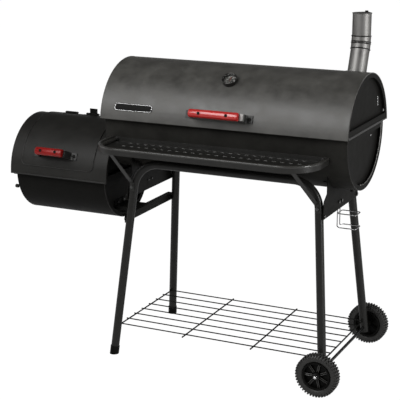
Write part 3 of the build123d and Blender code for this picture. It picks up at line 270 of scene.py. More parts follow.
def spread(tree, value, low, high, to_low, to_high):
    """A value stretched from one range to another. The ends of the new range are numbers or sockets."""
    node = tree.nodes.new("ShaderNodeMapRange")
    node.inputs["From Min"].default_value = low
    node.inputs["From Max"].default_value = high
    for label, end in (("To Min", to_low), ("To Max", to_high)):
        if isinstance(end, (int, float)):
            node.inputs[label].default_value = end
        else:
            tree.links.new(end, node.inputs[label])
    tree.links.new(value, node.inputs["Value"])
    return node.outputs[0]


NOISE_LOW, NOISE_HIGH = 0.3, 0.7


def wander(tree, value, to_low, to_high):
    """The middle of a noise, where most of its values lie, stretched to a new range."""
    return spread(tree, value, NOISE_LOW, NOISE_HIGH, to_low, to_high)


PEEL_SCALE = 420
GRIT_SCALE = 1500
GRIT_LOW, GRIT_HIGH = 0.2, 0.8
GRIT_GLOSS = 0.03
GRIT_SHARE = 0.35
BLOTCH_SCALE = 17

coat, enter, leave = new_group(
    "sprayed_coat",
    [("Dark", 0.85), ("Light", 1.15), ("Gloss Rough", 0.35), ("Matt Rough", 0.5)],
    [("Tone", "NodeSocketFloat"), ("Roughness", "NodeSocketFloat"), ("Height", "NodeSocketFloat")])
place = coat.nodes.new("ShaderNodeTexCoord").outputs["Object"]
peel = noise(coat, place, PEEL_SCALE, 2)
grit = noise(coat, place, GRIT_SCALE, 1)
blotch = noise(coat, place, BLOTCH_SCALE, 5, 0.62)
tone = wander(coat, blotch, enter.outputs["Dark"], enter.outputs["Light"])
gloss = wander(coat, blotch, enter.outputs["Gloss Rough"], enter.outputs["Matt Rough"])
speckle = spread(coat, grit, GRIT_LOW, GRIT_HIGH, -GRIT_GLOSS, GRIT_GLOSS)
coat.links.new(tone, leave.inputs["Tone"])
coat.links.new(joined(coat, "ADD", gloss, speckle), leave.inputs["Roughness"])
fine = joined(coat, "MULTIPLY", grit, GRIT_SHARE)
coat.links.new(joined(coat, "ADD", peel, fine), leave.inputs["Height"])
print("group", coat.name, "with", len(coat.nodes), "nodes")

# %% [markdown]
# A pressed sheet never ends in a knife edge. The Bevel node rounds the normals near each edge, which
# gives the thin light lines that show along rims. Where that rounded normal turns away from the real one,
# the surface is near an edge, and a noise breaks that line up into a mask of rubbed paint.

# %% Shared group: soft edges
EDGE_RADIUS = 0.6 * MM
EDGE_SAMPLES = 6
RUB_SCALE = 90
RUB_LEAST, RUB_MOST = 0.75, 0.35
EDGE_STARTS, EDGE_FULL = 0.02, 0.25

edges, enter, leave = new_group(
    "soft_edges", [("Reach", 0.5)], [("Normal", "NodeSocketVector"), ("Rubbed", "NodeSocketFloat")])
rounded = edges.nodes.new("ShaderNodeBevel")
rounded.samples = EDGE_SAMPLES
rounded.inputs["Radius"].default_value = EDGE_RADIUS
true_normal = edges.nodes.new("ShaderNodeNewGeometry").outputs["Normal"]
agree = edges.nodes.new("ShaderNodeVectorMath")
agree.operation = "DOT_PRODUCT"
edges.links.new(rounded.outputs[0], agree.inputs[0])
edges.links.new(true_normal, agree.inputs[1])
turned = joined(edges, "SUBTRACT", 1, agree.outputs["Value"])
broken = noise(edges, edges.nodes.new("ShaderNodeTexCoord").outputs["Object"], RUB_SCALE, 6, 0.7)
limit = spread(edges, enter.outputs["Reach"], 0, 1, RUB_LEAST, RUB_MOST)
near_edge = spread(edges, turned, EDGE_STARTS, EDGE_FULL, 0, 1)
rub = joined(edges, "MULTIPLY", near_edge, joined(edges, "GREATER_THAN", broken, limit))
edges.links.new(rounded.outputs[0], leave.inputs["Normal"])
edges.links.new(rub, leave.inputs["Rubbed"])
print("group", edges.name, "with", len(edges.nodes), "nodes")

# %% [markdown]
# All the painted steel is one recipe with other numbers: the coat's tone darkens and lightens the paint,
# its height feeds a small bump, and a little bare steel shows where an edge is rubbed. What is the same
# all over, such as the specular level, is set on the shader itself.

# %% Painted steel
BARE_STEEL = (0.05, 0.05, 0.05, 1)
PEEL_DEPTH = 0.25 * MM
WARM_GREEN, WARM_BLUE = 0.97, 0.88


def new_material(name):
    """A node material, its tree and its shader."""
    material = bpy.data.materials.new(name)
    material.use_nodes = True
    return material, material.node_tree, material.node_tree.nodes["Principled BSDF"]


def place_group(tree, group, values):
    """A shared group placed in a material with its own values."""
    node = tree.nodes.new("ShaderNodeGroup")
    node.node_tree = group
    for label, value in values.items():
        node.inputs[label].default_value = value
    return node


def toned(tree, colour, tone):
    """A colour multiplied by a tone that varies over the surface."""
    node = tree.nodes.new("ShaderNodeMix")
    node.data_type = "RGBA"
    node.blend_type = "MULTIPLY"
    node.inputs["Factor"].default_value = 1
    node.inputs["A"].default_value = colour
    tree.links.new(tone, node.inputs["B"])
    return node.outputs["Result"]


def mixed(tree, mask, first, second):
    """Two colours mixed by a mask. Either may be a socket."""
    node = tree.nodes.new("ShaderNodeMix")
    node.data_type = "RGBA"
    tree.links.new(mask, node.inputs["Factor"])
    for label, value in (("A", first), ("B", second)):
        if isinstance(value, tuple):
            node.inputs[label].default_value = value
        else:
            tree.links.new(value, node.inputs[label])
    return node.outputs["Result"]


def bump(tree, shader, height, distance, strength, normal=None):
    """A bump from a height, on top of another normal if one is given."""
    node = tree.nodes.new("ShaderNodeBump")
    node.inputs["Distance"].default_value = distance
    node.inputs["Strength"].default_value = strength
    tree.links.new(height, node.inputs["Height"])
    if normal is not None:
        tree.links.new(normal, node.inputs["Normal"])
    tree.links.new(node.outputs[0], shader.inputs["Normal"])


def painted(name, colour, rough, specular, blotch=0.12, peel=0.25, rubbed=0.35):
    """Sprayed steel: a colour, its glossiest and roughest values and how much the coat varies."""
    material, tree, shader = new_material(name)
    skin = place_group(tree, coat, {"Dark": 1 - blotch, "Light": 1 + blotch,
                                    "Gloss Rough": rough[0], "Matt Rough": rough[1]})
    rim = place_group(tree, edges, {"Reach": rubbed})
    paint = toned(tree, (*colour, 1), skin.outputs["Tone"])
    tree.links.new(mixed(tree, rim.outputs["Rubbed"], paint, BARE_STEEL), shader.inputs["Base Color"])
    tree.links.new(skin.outputs["Roughness"], shader.inputs["Roughness"])
    shader.inputs["Specular IOR Level"].default_value = specular
    bump(tree, shader, skin.outputs["Height"], PEEL_DEPTH, peel, rim.outputs["Normal"])
    return material


def warm(level):
    """A grey with the slight warmth of heat-proof paint."""
    return (level, WARM_GREEN * level, WARM_BLUE * level)


finishes = {
    "lid_paint": painted("lid_paint", warm(0.045), (0.35, 0.54), 0.48, blotch=0.3),
    "drum_paint": painted("drum_paint", warm(0.012), (0.4, 0.5), 0.17, blotch=0.2),
    "drum_matt": painted("drum_matt", warm(0.018), (0.5, 0.6), 0.03, blotch=0.2),
    # painted shade: a darker copy of the drum's black paint, for the right end panels, the right saddle
    # plate and the firebox's body
    "shaded_panel_paint": painted("shaded_panel_paint", warm(0.006), (0.45, 0.55), 0.035),
    "shelf_coat": painted("shelf_coat", warm(0.011), (0.34, 0.44), 0.28),
    # painted highlight in part: a paler, glossier copy of the shelf's paint for its rolls and slot lips
    "rim_gloss_and_highlight": painted("rim_gloss_and_highlight", warm(0.022), (0.24, 0.34), 0.46),
    "leg_paint": painted("leg_paint", warm(0.009), (0.3, 0.4), 0.22),
    "frame_paint": painted("frame_paint", warm(0.005), (0.4, 0.5), 0.06),
    "hinge_steel": painted("hinge_steel", warm(0.01), (0.32, 0.45), 0.3),
    "rack_wire": painted("rack_wire", warm(0.005), (0.35, 0.45), 0.05),
    "grate_enamel": painted("grate_enamel", warm(0.012), (0.22, 0.34), 0.4),
    "plate_enamel": painted("plate_enamel", warm(0.004), (0.4, 0.5), 0.06, peel=0.1),
}
print("paints:", ", ".join(finishes))

# %% [markdown]
# Bolts, wire and bright steel are metal all over, so their colour is what they reflect. The sprayed
# coat's group serves again, for dull patches and a trace of rolling marks. The chimney's silver paint gets
# a dark edge tint, which is painted shade: it darkens the pipe towards its outline, standing in for the
# dark room that those edges would reflect.

# %% Bare and plated metal
DULL_PATCH, CLEAN_PATCH = 0.8, 1.1
MARK_DEPTH = 0.1 * MM
MARK_STRENGTH = 0.15


def plated(name, colour, rough, painted_edge_shade=1.0):
    """Plated metal with fine rolling marks and dull patches. A low edge tint is painted shade that darkens
    the edges.
    """
    material, tree, shader = new_material(name)
    skin = place_group(tree, coat, {"Dark": DULL_PATCH, "Light": CLEAN_PATCH,
                                    "Gloss Rough": rough[0], "Matt Rough": rough[1]})
    rim = place_group(tree, edges, {"Reach": 0})
    tree.links.new(toned(tree, (*colour, 1), skin.outputs["Tone"]), shader.inputs["Base Color"])
    tree.links.new(skin.outputs["Roughness"], shader.inputs["Roughness"])
    shader.inputs["Metallic"].default_value = 1
    shader.inputs["Specular Tint"].default_value = (painted_edge_shade, painted_edge_shade, painted_edge_shade, 1)
    bump(tree, shader, skin.outputs["Height"], MARK_DEPTH, MARK_STRENGTH, rim.outputs["Normal"])
    return material


# painted shade: the low edge tint darkens the chimney towards its outline
finishes["stack_paint"] = plated("stack_paint", (0.2, 0.196, 0.19), (0.46, 0.56), painted_edge_shade=0.1)
finishes["bolt_zinc"] = plated("bolt_zinc", (0.09, 0.09, 0.088), (0.24, 0.36))
finishes["bolt_black"] = plated("bolt_black", (0.03, 0.03, 0.03), (0.3, 0.42))
finishes["wire_chrome"] = plated("wire_chrome", (0.34, 0.34, 0.345), (0.16, 0.26))
finishes["bright_steel"] = plated("bright_steel", (0.6, 0.6, 0.6), (0.14, 0.24))
finishes["case_steel"] = plated("case_steel", (0.09, 0.088, 0.085), (0.24, 0.34))
print("metals: stack_paint, bolt_zinc, bolt_black, wire_chrome, bright_steel, case_steel")

# %% [markdown]
# The grips are wood under red gloss paint. The grain still shows as long low ripples along the grip, and
# the paint is darker where it has run into them. A noise stretched along X makes the grain. A clear coat
# gives the bright line along the lid's grip. The firebox's grip has no clear coat, and its darker red is
# painted shade, since less light falls on it towards the left.

# %% Red painted wood
RED = (0.38, 0.015, 0.013)
# painted shade: the firebox grip's red, darker because less light reaches it
SHADED_RED = (0.19, 0.006, 0.005)
WORN_RED = (0.3, 0.02, 0.018, 1)
GRAIN_STRETCH = (14, 260, 260)
GRAIN_DEPTH = 0.3 * MM
GRAIN_STRENGTH = 0.35
GLOSS_COAT_ROUGH = 0.12
WOOD_SPECULAR = 0.2
WOOD_RUB = 0.2


def red_wood(name, colour, coat_weight):
    """Red painted wood under more or less of a clear coat."""
    material, tree, shader = new_material(name)
    stretch = tree.nodes.new("ShaderNodeMapping")
    stretch.inputs["Scale"].default_value = GRAIN_STRETCH
    tree.links.new(tree.nodes.new("ShaderNodeTexCoord").outputs["Object"], stretch.inputs["Vector"])
    grain = noise(tree, stretch.outputs[0], 1, 6, 0.6)
    rim = place_group(tree, edges, {"Reach": WOOD_RUB})
    red = toned(tree, (*colour, 1), wander(tree, grain, 0.7, 1.2))
    tree.links.new(mixed(tree, rim.outputs["Rubbed"], red, WORN_RED), shader.inputs["Base Color"])
    tree.links.new(wander(tree, grain, 0.22, 0.36), shader.inputs["Roughness"])
    shader.inputs["Coat Weight"].default_value = coat_weight
    shader.inputs["Coat Roughness"].default_value = GLOSS_COAT_ROUGH
    shader.inputs["Specular IOR Level"].default_value = WOOD_SPECULAR
    bump(tree, shader, grain, GRAIN_DEPTH, GRAIN_STRENGTH, rim.outputs["Normal"])
    return material


finishes["grip_wood"] = red_wood("grip_wood", RED, 0.9)
# painted shade: the firebox grip wears the darker red
finishes["door_wood_shaded"] = red_wood("door_wood_shaded", SHADED_RED, 0.0)
print("grip_wood and door_wood_shaded with their grain stretched by", GRAIN_STRETCH)

# %% [markdown]
# The tyres are rubber and the hubs plastic. Both come from a mould with a fine grain, which a small noise
# gives as a bump. A little dust lies on them in patches, so a second, broad noise makes them paler and
# duller there.

# %% Rubber and moulded plastic
DUST_SCALE = 24
DUST_FROM, DUST_TO = 0.45, 0.8
DUST_MOST = 0.8
DUST_LIFT = 0.003
DUST_GAIN = 1.5
MOULD_STRENGTH = 0.5
MOULD_RUB = 0.1


def moulded(name, colour, rough, specular, grain_scale, depth):
    """Rubber or plastic with a fine moulded grain and a trace of dust in it."""
    material, tree, shader = new_material(name)
    place = tree.nodes.new("ShaderNodeTexCoord").outputs["Object"]
    grain = noise(tree, place, grain_scale, 3)
    dust = noise(tree, place, DUST_SCALE, 6, 0.65)
    rim = place_group(tree, edges, {"Reach": MOULD_RUB})
    dusty = tuple(min(1, DUST_GAIN * level + DUST_LIFT) for level in colour)
    patches = spread(tree, dust, DUST_FROM, DUST_TO, 0, DUST_MOST)
    tree.links.new(mixed(tree, patches, (*colour, 1), (*dusty, 1)), shader.inputs["Base Color"])
    tree.links.new(wander(tree, dust, *rough), shader.inputs["Roughness"])
    shader.inputs["Specular IOR Level"].default_value = specular
    bump(tree, shader, grain, depth, MOULD_STRENGTH, rim.outputs["Normal"])
    return material


finishes["tyre_rubber"] = moulded("tyre_rubber", warm(0.011), (0.42, 0.56), 0.4, 500, 0.3 * MM)
finishes["hub_plastic"] = moulded("hub_plastic", warm(0.003), (0.3, 0.4), 0.05, 900, 0.2 * MM)
# painted highlight in part: the hub's plastic made paler and glossier for the rib tops
finishes["rib_gloss_and_highlight"] = moulded("rib_gloss_and_highlight", warm(0.02), (0.2, 0.28), 0.6, 900, 0.05 * MM)
finishes["dial_enamel"] = moulded("dial_enamel", warm(0.06), (0.3, 0.4), 0.4, 300, 0.05 * MM)
finishes["needle_paint"] = moulded("needle_paint", (0.14, 0.03, 0.02), (0.3, 0.4), 0.4, 300, 0.05 * MM)
print("moulded: tyre_rubber, hub_plastic, rib_gloss_and_highlight, dial_enamel, needle_paint")

# %% [markdown]
# The thermometer's lens is thin glass with faint smears. Glass that casts a shadow would leave the dial
# dark, so shadow rays pass through it as if it were not there.

# %% Lens
GLASS_TINT = (0.95, 0.96, 0.96, 1)
SMEAR_SCALE = 60

material, tree, shader = new_material("lens_glass")
place = tree.nodes.new("ShaderNodeTexCoord").outputs["Object"]
tree.links.new(wander(tree, noise(tree, place, SMEAR_SCALE, 4), 0.02, 0.08), shader.inputs["Roughness"])
shader.inputs["Base Color"].default_value = GLASS_TINT
shader.inputs["Transmission Weight"].default_value = 1
clear = tree.nodes.new("ShaderNodeBsdfTransparent")
path = tree.nodes.new("ShaderNodeLightPath")
through = tree.nodes.new("ShaderNodeMixShader")
tree.links.new(path.outputs["Is Shadow Ray"], through.inputs[0])
tree.links.new(shader.outputs[0], through.inputs[1])
tree.links.new(clear.outputs[0], through.inputs[2])
tree.links.new(through.outputs[0], tree.nodes["Material Output"].inputs["Surface"])
finishes["lens_glass"] = material
print("lens_glass lets light through to the dial")

# %% [markdown]
# The frame's record names a finish for every piece. A few pieces wear another mix of the same paint,
# because the photograph shows them duller or darker than the rest of their kind. Those are listed by
# finish. The darkest of them is painted shade: a darker copy of the drum's black paint on the right end
# panels, the right saddle plate and the firebox's body, which take less light.

# %% Dress the frame
OTHER_COATS = {
    # painted shade: these pieces get the darker copy of the drum's black paint
    "shaded_panel_paint": ("body_end_right", "lid_end_right", "firebox_body_end_right", "firebox_hood_end_right",
                    "right_saddle_plate", "firebox_body"),
    "shelf_coat": ("front_shelf", "left_shelf_brace", "right_shelf_brace"),
    "frame_paint": ("lid_screws", "door_screws", "door_hinge_leaves", "fixed_hinge_leaves"),
    "drum_matt": ("main_body",),
    "bolt_black": ("axle_nuts",),
}
coat_of = {node: finish for finish, nodes in OTHER_COATS.items() for node in nodes}
for row in frame["record"]["subparts"]:
    piece = frame["nodes"][row["node"]]
    piece.data.materials.clear()
    piece.data.materials.append(finishes[coat_of.get(row["node"], row["material_slot"])])

# %% [markdown]
# New pieces follow one way: deselect all, add a primitive at its size and place, shape it in edit mode,
# and hand it to the body that carries it. These helpers keep the cells short. One selects parts of the
# edited mesh by a test, one moves a place into the mesh, one thickens bare edges into a round bead, and
# the last names and paints the piece and lets it ride.

# %% Helpers for new pieces
BEAD_STEPS = 3
BEAD_SMOOTH = math.radians(50)


def start_edit():
    """Put the active piece alone in edit mode with everything selected."""
    bpy.ops.object.mode_set(mode="EDIT")
    bpy.ops.mesh.select_all(action="SELECT")


def pick(kind, test):
    """Select the verts, edges or faces of the edited mesh that pass a test."""
    modes = {"verts": "VERT", "edges": "EDGE", "faces": "FACE"}
    bpy.ops.mesh.select_mode(type=modes[kind])
    bpy.ops.mesh.select_all(action="DESELECT")
    mesh = bmesh.from_edit_mesh(bpy.context.object.data)
    for part in getattr(mesh, kind):
        if test(part):
            part.select_set(True)
    bmesh.update_edit_mesh(bpy.context.object.data)


def bake_place():
    """Move the active piece's place, turn and scale into its mesh."""
    bpy.ops.object.transform_apply(location=True, rotation=True, scale=True)


def bead_from_wire(radius):
    """Turn the active piece's bare edges into a round bead."""
    bpy.ops.object.convert(target="CURVE")
    wire = bpy.context.object.data
    wire.bevel_depth = radius
    wire.bevel_resolution = BEAD_STEPS
    wire.use_fill_caps = True
    bpy.ops.object.convert(target="MESH")
    bpy.ops.object.shade_smooth_by_angle(angle=BEAD_SMOOTH)


def hand_over(name, body, slot, finish=None):
    """Name the active piece, paint it and let it ride on a body."""
    piece = bpy.context.object
    bake_place()
    piece.name = name
    piece.data.name = name
    piece.data.materials.clear()
    piece.data.materials.append(finish or finishes[slot])
    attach(piece, body)
    bpy.ops.object.select_all(action="DESELECT")
    print(name, "has", len(piece.data.polygons), "faces and rides on", body)
    return piece


# %% [markdown]
# Each end panel is joined to its shell by a rolled seam, a thin round bead that catches the light. It is
# a circle of bare edges, cut level where the shell ends by bisect, and thickened into a bead.

# %% Rolled seams of the drums
SEAM_SIDES = 160
SEAM_R = 1.5 * MM


def rolled_seam(node, side, axis_z, upper, body, slot):
    """A bead where an end panel meets its shell. side is -1 on a left end."""
    low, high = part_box(node)
    radius = (high.z - axis_z if upper else axis_z - low.z) + SHEET / 2
    face_x = low.x if side < 0 else high.x
    level = low.z if upper else high.z
    bpy.ops.object.select_all(action="DESELECT")
    bpy.ops.mesh.primitive_circle_add(vertices=SEAM_SIDES, radius=radius, fill_type="NOTHING",
                                      location=(face_x, lid_axis.y, axis_z), rotation=(0, math.pi / 2, 0))
    bake_place()
    start_edit()
    bpy.ops.mesh.bisect(plane_co=(face_x, lid_axis.y, level), plane_no=(0, 0, 1),
                        clear_inner=upper, clear_outer=not upper)
    bpy.ops.object.mode_set(mode="OBJECT")
    bead_from_wire(SEAM_R)
    hand_over(node + "_seam", body, slot)


for end, side in (("left", -1), ("right", 1)):
    rolled_seam("lid_end_" + end, side, lid_axis.z, True, "lid", "lid_paint")
    rolled_seam("body_end_" + end, side, drum_z, False, "root", "drum_paint")
    rolled_seam("firebox_hood_end_" + end, side, fire_z, True, "root", "drum_paint")
    rolled_seam("firebox_body_end_" + end, side, fire_z, False, "root", "drum_paint")

# %% [markdown]
# The shelf's front and sides end in a rolled rim, with a second roll inside it that leads down to the
# panel. A plane of the shelf's plan gets its two front corners rounded by a vertex bevel, its face and
# rear edge are deleted, and the wire that is left becomes the roll.

# %% Rolled rim of the shelf
SHELF_CORNER = 110 * MM
CORNER_STEPS = 24
RIM_R = 5.3 * MM
RIM_IN = 4.6 * MM
RIM_DROP = 2.6 * MM
ROLL_R = 6.5 * MM
ROLL_IN = 11 * MM
ROLL_DROP = 8.5 * MM

shelf_low, shelf_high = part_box("front_shelf")
middle = (shelf_low + shelf_high) / 2


def shelf_roll(name, inset, drop, radius):
    """A round roll along the shelf's front and sides, inset from its edge and below its top."""
    bpy.ops.object.select_all(action="DESELECT")
    bpy.ops.mesh.primitive_plane_add(size=1, location=(middle.x, middle.y + inset / 2, shelf_high.z - drop))
    width = shelf_high.x - shelf_low.x - 2 * inset
    bpy.context.object.scale = (width, shelf_high.y - shelf_low.y - inset, 1)
    bake_place()
    start_edit()
    pick("verts", lambda vert: vert.co.y < middle.y)
    bpy.ops.mesh.bevel(offset=SHELF_CORNER - inset, segments=CORNER_STEPS, affect="VERTICES")
    bpy.ops.mesh.select_all(action="SELECT")
    bpy.ops.mesh.delete(type="ONLY_FACE")
    pick("edges", lambda edge: all(vert.co.y > shelf_high.y - inset for vert in edge.verts))
    bpy.ops.mesh.delete(type="EDGE")
    bpy.ops.object.mode_set(mode="OBJECT")
    bead_from_wire(radius)
    # painted highlight in part: the rolls wear the paler, glossier copy of the shelf's paint
    hand_over(name, "root", "drum_paint", finishes["rim_gloss_and_highlight"])


shelf_roll("shelf_rolled_rim", RIM_IN, RIM_DROP, RIM_R)
shelf_roll("shelf_inner_roll", ROLL_IN, ROLL_DROP, ROLL_R)

# %% [markdown]
# The slots in the shelf were punched from below, which leaves a thin raised lip round each. One lip is a
# plane with its corners bevelled until its ends are round. Its bare edges are copied along the row and
# then to the second row, and all of them become beads in one go.

# %% Lips of the shelf's slots
SLOT_SIZE = (14 * MM, 4 * MM)
SLOT_PITCH = 28 * MM
SLOT_COUNT = 23
SLOT_ROWS = (14 * MM, 60 * MM)
PANEL_DIP = 15 * MM
LIP_R = 0.9 * MM
LIP_ROUND = 0.49
LIP_STEPS = 5

first_x = middle.x - SLOT_PITCH * (SLOT_COUNT - 1) / 2
bpy.ops.mesh.primitive_plane_add(
    size=1, location=(first_x, shelf_high.y - SLOT_ROWS[0], shelf_high.z - PANEL_DIP))
bpy.context.object.scale = (*SLOT_SIZE, 1)
bake_place()
start_edit()
bpy.ops.mesh.bevel(offset=SLOT_SIZE[1] * LIP_ROUND, segments=LIP_STEPS, affect="VERTICES")
bpy.ops.mesh.select_all(action="SELECT")
bpy.ops.mesh.delete(type="ONLY_FACE")
bpy.ops.mesh.select_all(action="SELECT")
for _ in range(SLOT_COUNT - 1):
    bpy.ops.mesh.duplicate_move(TRANSFORM_OT_translate={"value": (SLOT_PITCH, 0, 0)})
bpy.ops.mesh.select_all(action="SELECT")
bpy.ops.mesh.duplicate_move(TRANSFORM_OT_translate={"value": (0, SLOT_ROWS[0] - SLOT_ROWS[1], 0)})
bpy.ops.object.mode_set(mode="OBJECT")
bead_from_wire(LIP_R)
# painted highlight in part: the lips wear the paler, glossier copy of the shelf's paint
hand_over("shelf_slot_lips", "root", "drum_paint", finishes["rim_gloss_and_highlight"])

# %% [markdown]
# Some trim follows a drum: the hem round the firebox door and the border of the nameplate. It is drawn
# flat first, as the sheet would be before rolling, with X along the drum and Z as the way round it. A
# plane gets round corners by a vertex bevel, its edges are subdivided, and each point is then laid on the
# drum.

# %% Helpers for trim on a drum
OUTLINE_STEPS = 8
OUTLINE_CUTS = 30


def rolled_outline(x_low, x_high, way_low, way_high, corner):
    """The bare outline of a rounded sheet, drawn flat in X and Z, left in edit mode."""
    bpy.ops.object.select_all(action="DESELECT")
    bpy.ops.mesh.primitive_plane_add(
        size=1, location=((x_low + x_high) / 2, 0, (way_low + way_high) / 2), rotation=(math.pi / 2, 0, 0))
    bpy.context.object.scale = (x_high - x_low, way_high - way_low, 1)
    bake_place()
    start_edit()
    bpy.ops.mesh.bevel(offset=corner, segments=OUTLINE_STEPS, affect="VERTICES")
    bpy.ops.mesh.select_all(action="SELECT")
    bpy.ops.mesh.delete(type="ONLY_FACE")
    pick("edges", lambda edge: edge.calc_length() > corner)
    bpy.ops.mesh.subdivide(number_cuts=OUTLINE_CUTS)


def lay_on_drum(axis_z, radius):
    """Roll the edited mesh onto a drum of the lid's axis in plan."""
    mesh = bmesh.from_edit_mesh(bpy.context.object.data)
    for vert in mesh.verts:
        turn = vert.co.z / radius
        vert.co.y = lid_axis.y - radius * math.cos(turn)
        vert.co.z = axis_z + radius * math.sin(turn)
    bmesh.update_edit_mesh(bpy.context.object.data)
    bpy.ops.object.mode_set(mode="OBJECT")


# %% [markdown]
# The firebox door is a curved sheet with its edge folded back, so a thin round hem runs all round it. Its
# radius is read from the door's box, and the hem keeps its own radius inside the sheet's outline.

# %% Hem of the firebox door
DOOR_TOP = math.radians(102.5)
DOOR_CORNER = 20 * MM
HEM_R = 1.7 * MM

door_low, door_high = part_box("door_panel")
front, rise = lid_axis.y - door_low.y, door_low.z - fire_z
door_radius = math.hypot(front, rise)
rolled_outline(door_low.x + HEM_R, door_high.x - HEM_R, door_radius * math.atan2(rise, front) + HEM_R,
               door_radius * DOOR_TOP - HEM_R, DOOR_CORNER - HEM_R)
lay_on_drum(fire_z, door_radius)
bead_from_wire(HEM_R)
hand_over("door_hem", "door", "drum_paint", finishes["shelf_coat"])

# %% [markdown]
# The nameplate is dark enamel with a bright raised border. The border is made as the door's hem is, on
# the lid's curve, a little inside the plate's edge.

# %% Border of the nameplate
PLATE_ROUND = 8 * MM
BORDER_IN = 1.6 * MM
BORDER_R = 0.8 * MM

plate_low, plate_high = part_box("nameplate")
plate_radius = math.hypot(plate_low.y - lid_axis.y, plate_low.z - lid_axis.z)
lower_way = plate_radius * math.asin((plate_low.z - lid_axis.z) / plate_radius)
upper_way = plate_radius * math.asin((plate_high.z - lid_axis.z) / plate_radius)
rolled_outline(plate_low.x + BORDER_IN, plate_high.x - BORDER_IN,
               lower_way + BORDER_IN, upper_way - BORDER_IN, PLATE_ROUND - BORDER_IN)
lay_on_drum(lid_axis.z, plate_radius)
bead_from_wire(BORDER_R)
hand_over("nameplate_border", "lid", "wire_chrome", finishes["bright_steel"])

# %% [markdown]
# The chimney is folded from short lengths of pipe, and each joint is closed by a crimped bead that stands
# proud. The joints follow from the pipe's lengths and its lean, worked up from the lid. A bead is a
# circle square to the joint, thickened, and the middle joint has two.

# %% Crimps of the chimney
STACK_LEAN = 21
STACK_LOWER = 78 * MM
RING_LEN = 21.5 * MM
RING_TURN = 7
STACK_R = 30.5 * MM
CRIMP_SIDES = 64
CRIMP_R = 1.9 * MM
CRIMP_APART = 5 * MM

pipe_low, pipe_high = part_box("stack_lower_pipe")
stack_x = (pipe_low.x + pipe_high.x) / 2


def leaned(degrees):
    """The direction at an angle behind the vertical."""
    return Vector((0, math.sin(math.radians(degrees)), math.cos(math.radians(degrees))))


def crimp(name, place, lean):
    """A bead round the chimney, square to a lean."""
    bpy.ops.object.select_all(action="DESELECT")
    bpy.ops.mesh.primitive_circle_add(
        vertices=CRIMP_SIDES, radius=STACK_R + CRIMP_R / 3, fill_type="NOTHING", location=place,
        rotation=(-math.radians(lean), 0, 0))
    bake_place()
    bead_from_wire(CRIMP_R)
    hand_over(name, "lid", "stack_paint", finishes["leg_paint"])


joint = Vector((stack_x, lid_axis.y, lid_axis.z)) + leaned(STACK_LEAN) * (lid_radius + STACK_LOWER)
crimp("stack_crimp_low", joint, STACK_LEAN - RING_TURN / 2)
joint = joint + leaned(STACK_LEAN - RING_TURN) * RING_LEN
middle_lean = STACK_LEAN - 1.5 * RING_TURN
crimp("stack_crimp_middle_low", joint - leaned(middle_lean) * CRIMP_APART / 2, middle_lean)
crimp("stack_crimp_middle_high", joint + leaned(middle_lean) * CRIMP_APART / 2, middle_lean)
joint = joint + leaned(STACK_LEAN - 2 * RING_TURN) * RING_LEN
crimp("stack_crimp_high", joint, RING_TURN / 2)

# %% [markdown]
# The thermometer is drawn flat on the floor of the scene, with its 12 o'clock along Y, and then tipped
# onto the lid. One tick is a small plane drawn out to a bar, and spin copies it round the scale. The
# numbers are plain text turned into a mesh. A bead round the case is its bezel.

# %% Face of the thermometer
FACE_ANGLE = 54
FACE_LIFT = 3.9 * MM
SCALE_HALF = math.radians(130)
TICKS = 26
TICK_AT = 18.5 * MM
TICK_SIZE = (0.7 * MM, 3 * MM)
TICK_H = 0.25 * MM
NUMBERS = ("50", "100", "150", "200", "250", "300")
NUMBER_AT = 12.5 * MM
NUMBER_SIZE = 4.2 * MM
BEZEL_SIDES = 72
BEZEL_R = 23.4 * MM
BEZEL_BEAD = 1.5 * MM
BEZEL_LIFT = 14.2 * MM


def outward(degrees):
    """The direction out of a drum's front, at an angle above the level."""
    return Vector((0, -math.cos(math.radians(degrees)), math.sin(math.radians(degrees))))


def set_facing(degrees, place):
    """Turn the active piece, made flat on the floor, to face outward and set it at a place."""
    piece = bpy.context.object
    piece.rotation_euler = (math.radians(90 - degrees), 0, 0)
    piece.location = place


def tip_onto_lid(lift):
    """Set the active flat piece over the lid, where the thermometer is."""
    set_facing(FACE_ANGLE, face_foot + outward(FACE_ANGLE) * lift)


def on_scale(share, radius):
    """A place on the flat scale, from its start at 0 to its end at 1."""
    turn = SCALE_HALF * (2 * share - 1)
    return Vector((radius * math.sin(turn), radius * math.cos(turn), 0))


dial_low, dial_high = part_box("thermometer_dial")
face_x = (dial_low.x + dial_high.x) / 2
face_foot = Vector((face_x, lid_axis.y, lid_axis.z)) + outward(FACE_ANGLE) * lid_radius
bpy.ops.mesh.primitive_plane_add(size=1, location=on_scale(0, TICK_AT), rotation=(0, 0, SCALE_HALF))
bpy.context.object.scale = (*TICK_SIZE, 1)
bake_place()
start_edit()
bpy.ops.mesh.extrude_region_move(TRANSFORM_OT_translate={"value": (0, 0, TICK_H)})
bpy.ops.mesh.select_all(action="SELECT")
bpy.ops.mesh.spin(steps=TICKS, dupli=True, angle=-2 * SCALE_HALF, center=(0, 0, 0), axis=(0, 0, 1))
bpy.ops.mesh.select_all(action="SELECT")
bpy.ops.mesh.normals_make_consistent(inside=False)
bpy.ops.object.mode_set(mode="OBJECT")
tip_onto_lid(FACE_LIFT)
pale = moulded("scale_white", (0.5, 0.5, 0.49), (0.4, 0.5), 0.3, 300, 0.02 * MM)
hand_over("thermometer_ticks", "lid", "dial_enamel", pale)

for step, number in enumerate(NUMBERS):
    bpy.ops.object.text_add(location=on_scale(step / (len(NUMBERS) - 1), NUMBER_AT))
    words = bpy.context.object.data
    words.body = number
    words.size = NUMBER_SIZE
    words.align_x = "CENTER"
    words.align_y = "CENTER"
    words.extrude = TICK_H / 2
    bpy.ops.object.convert(target="MESH")
    bake_place()
    tip_onto_lid(FACE_LIFT + TICK_H / 2)
    hand_over("thermometer_number_" + number, "lid", "dial_enamel", pale)

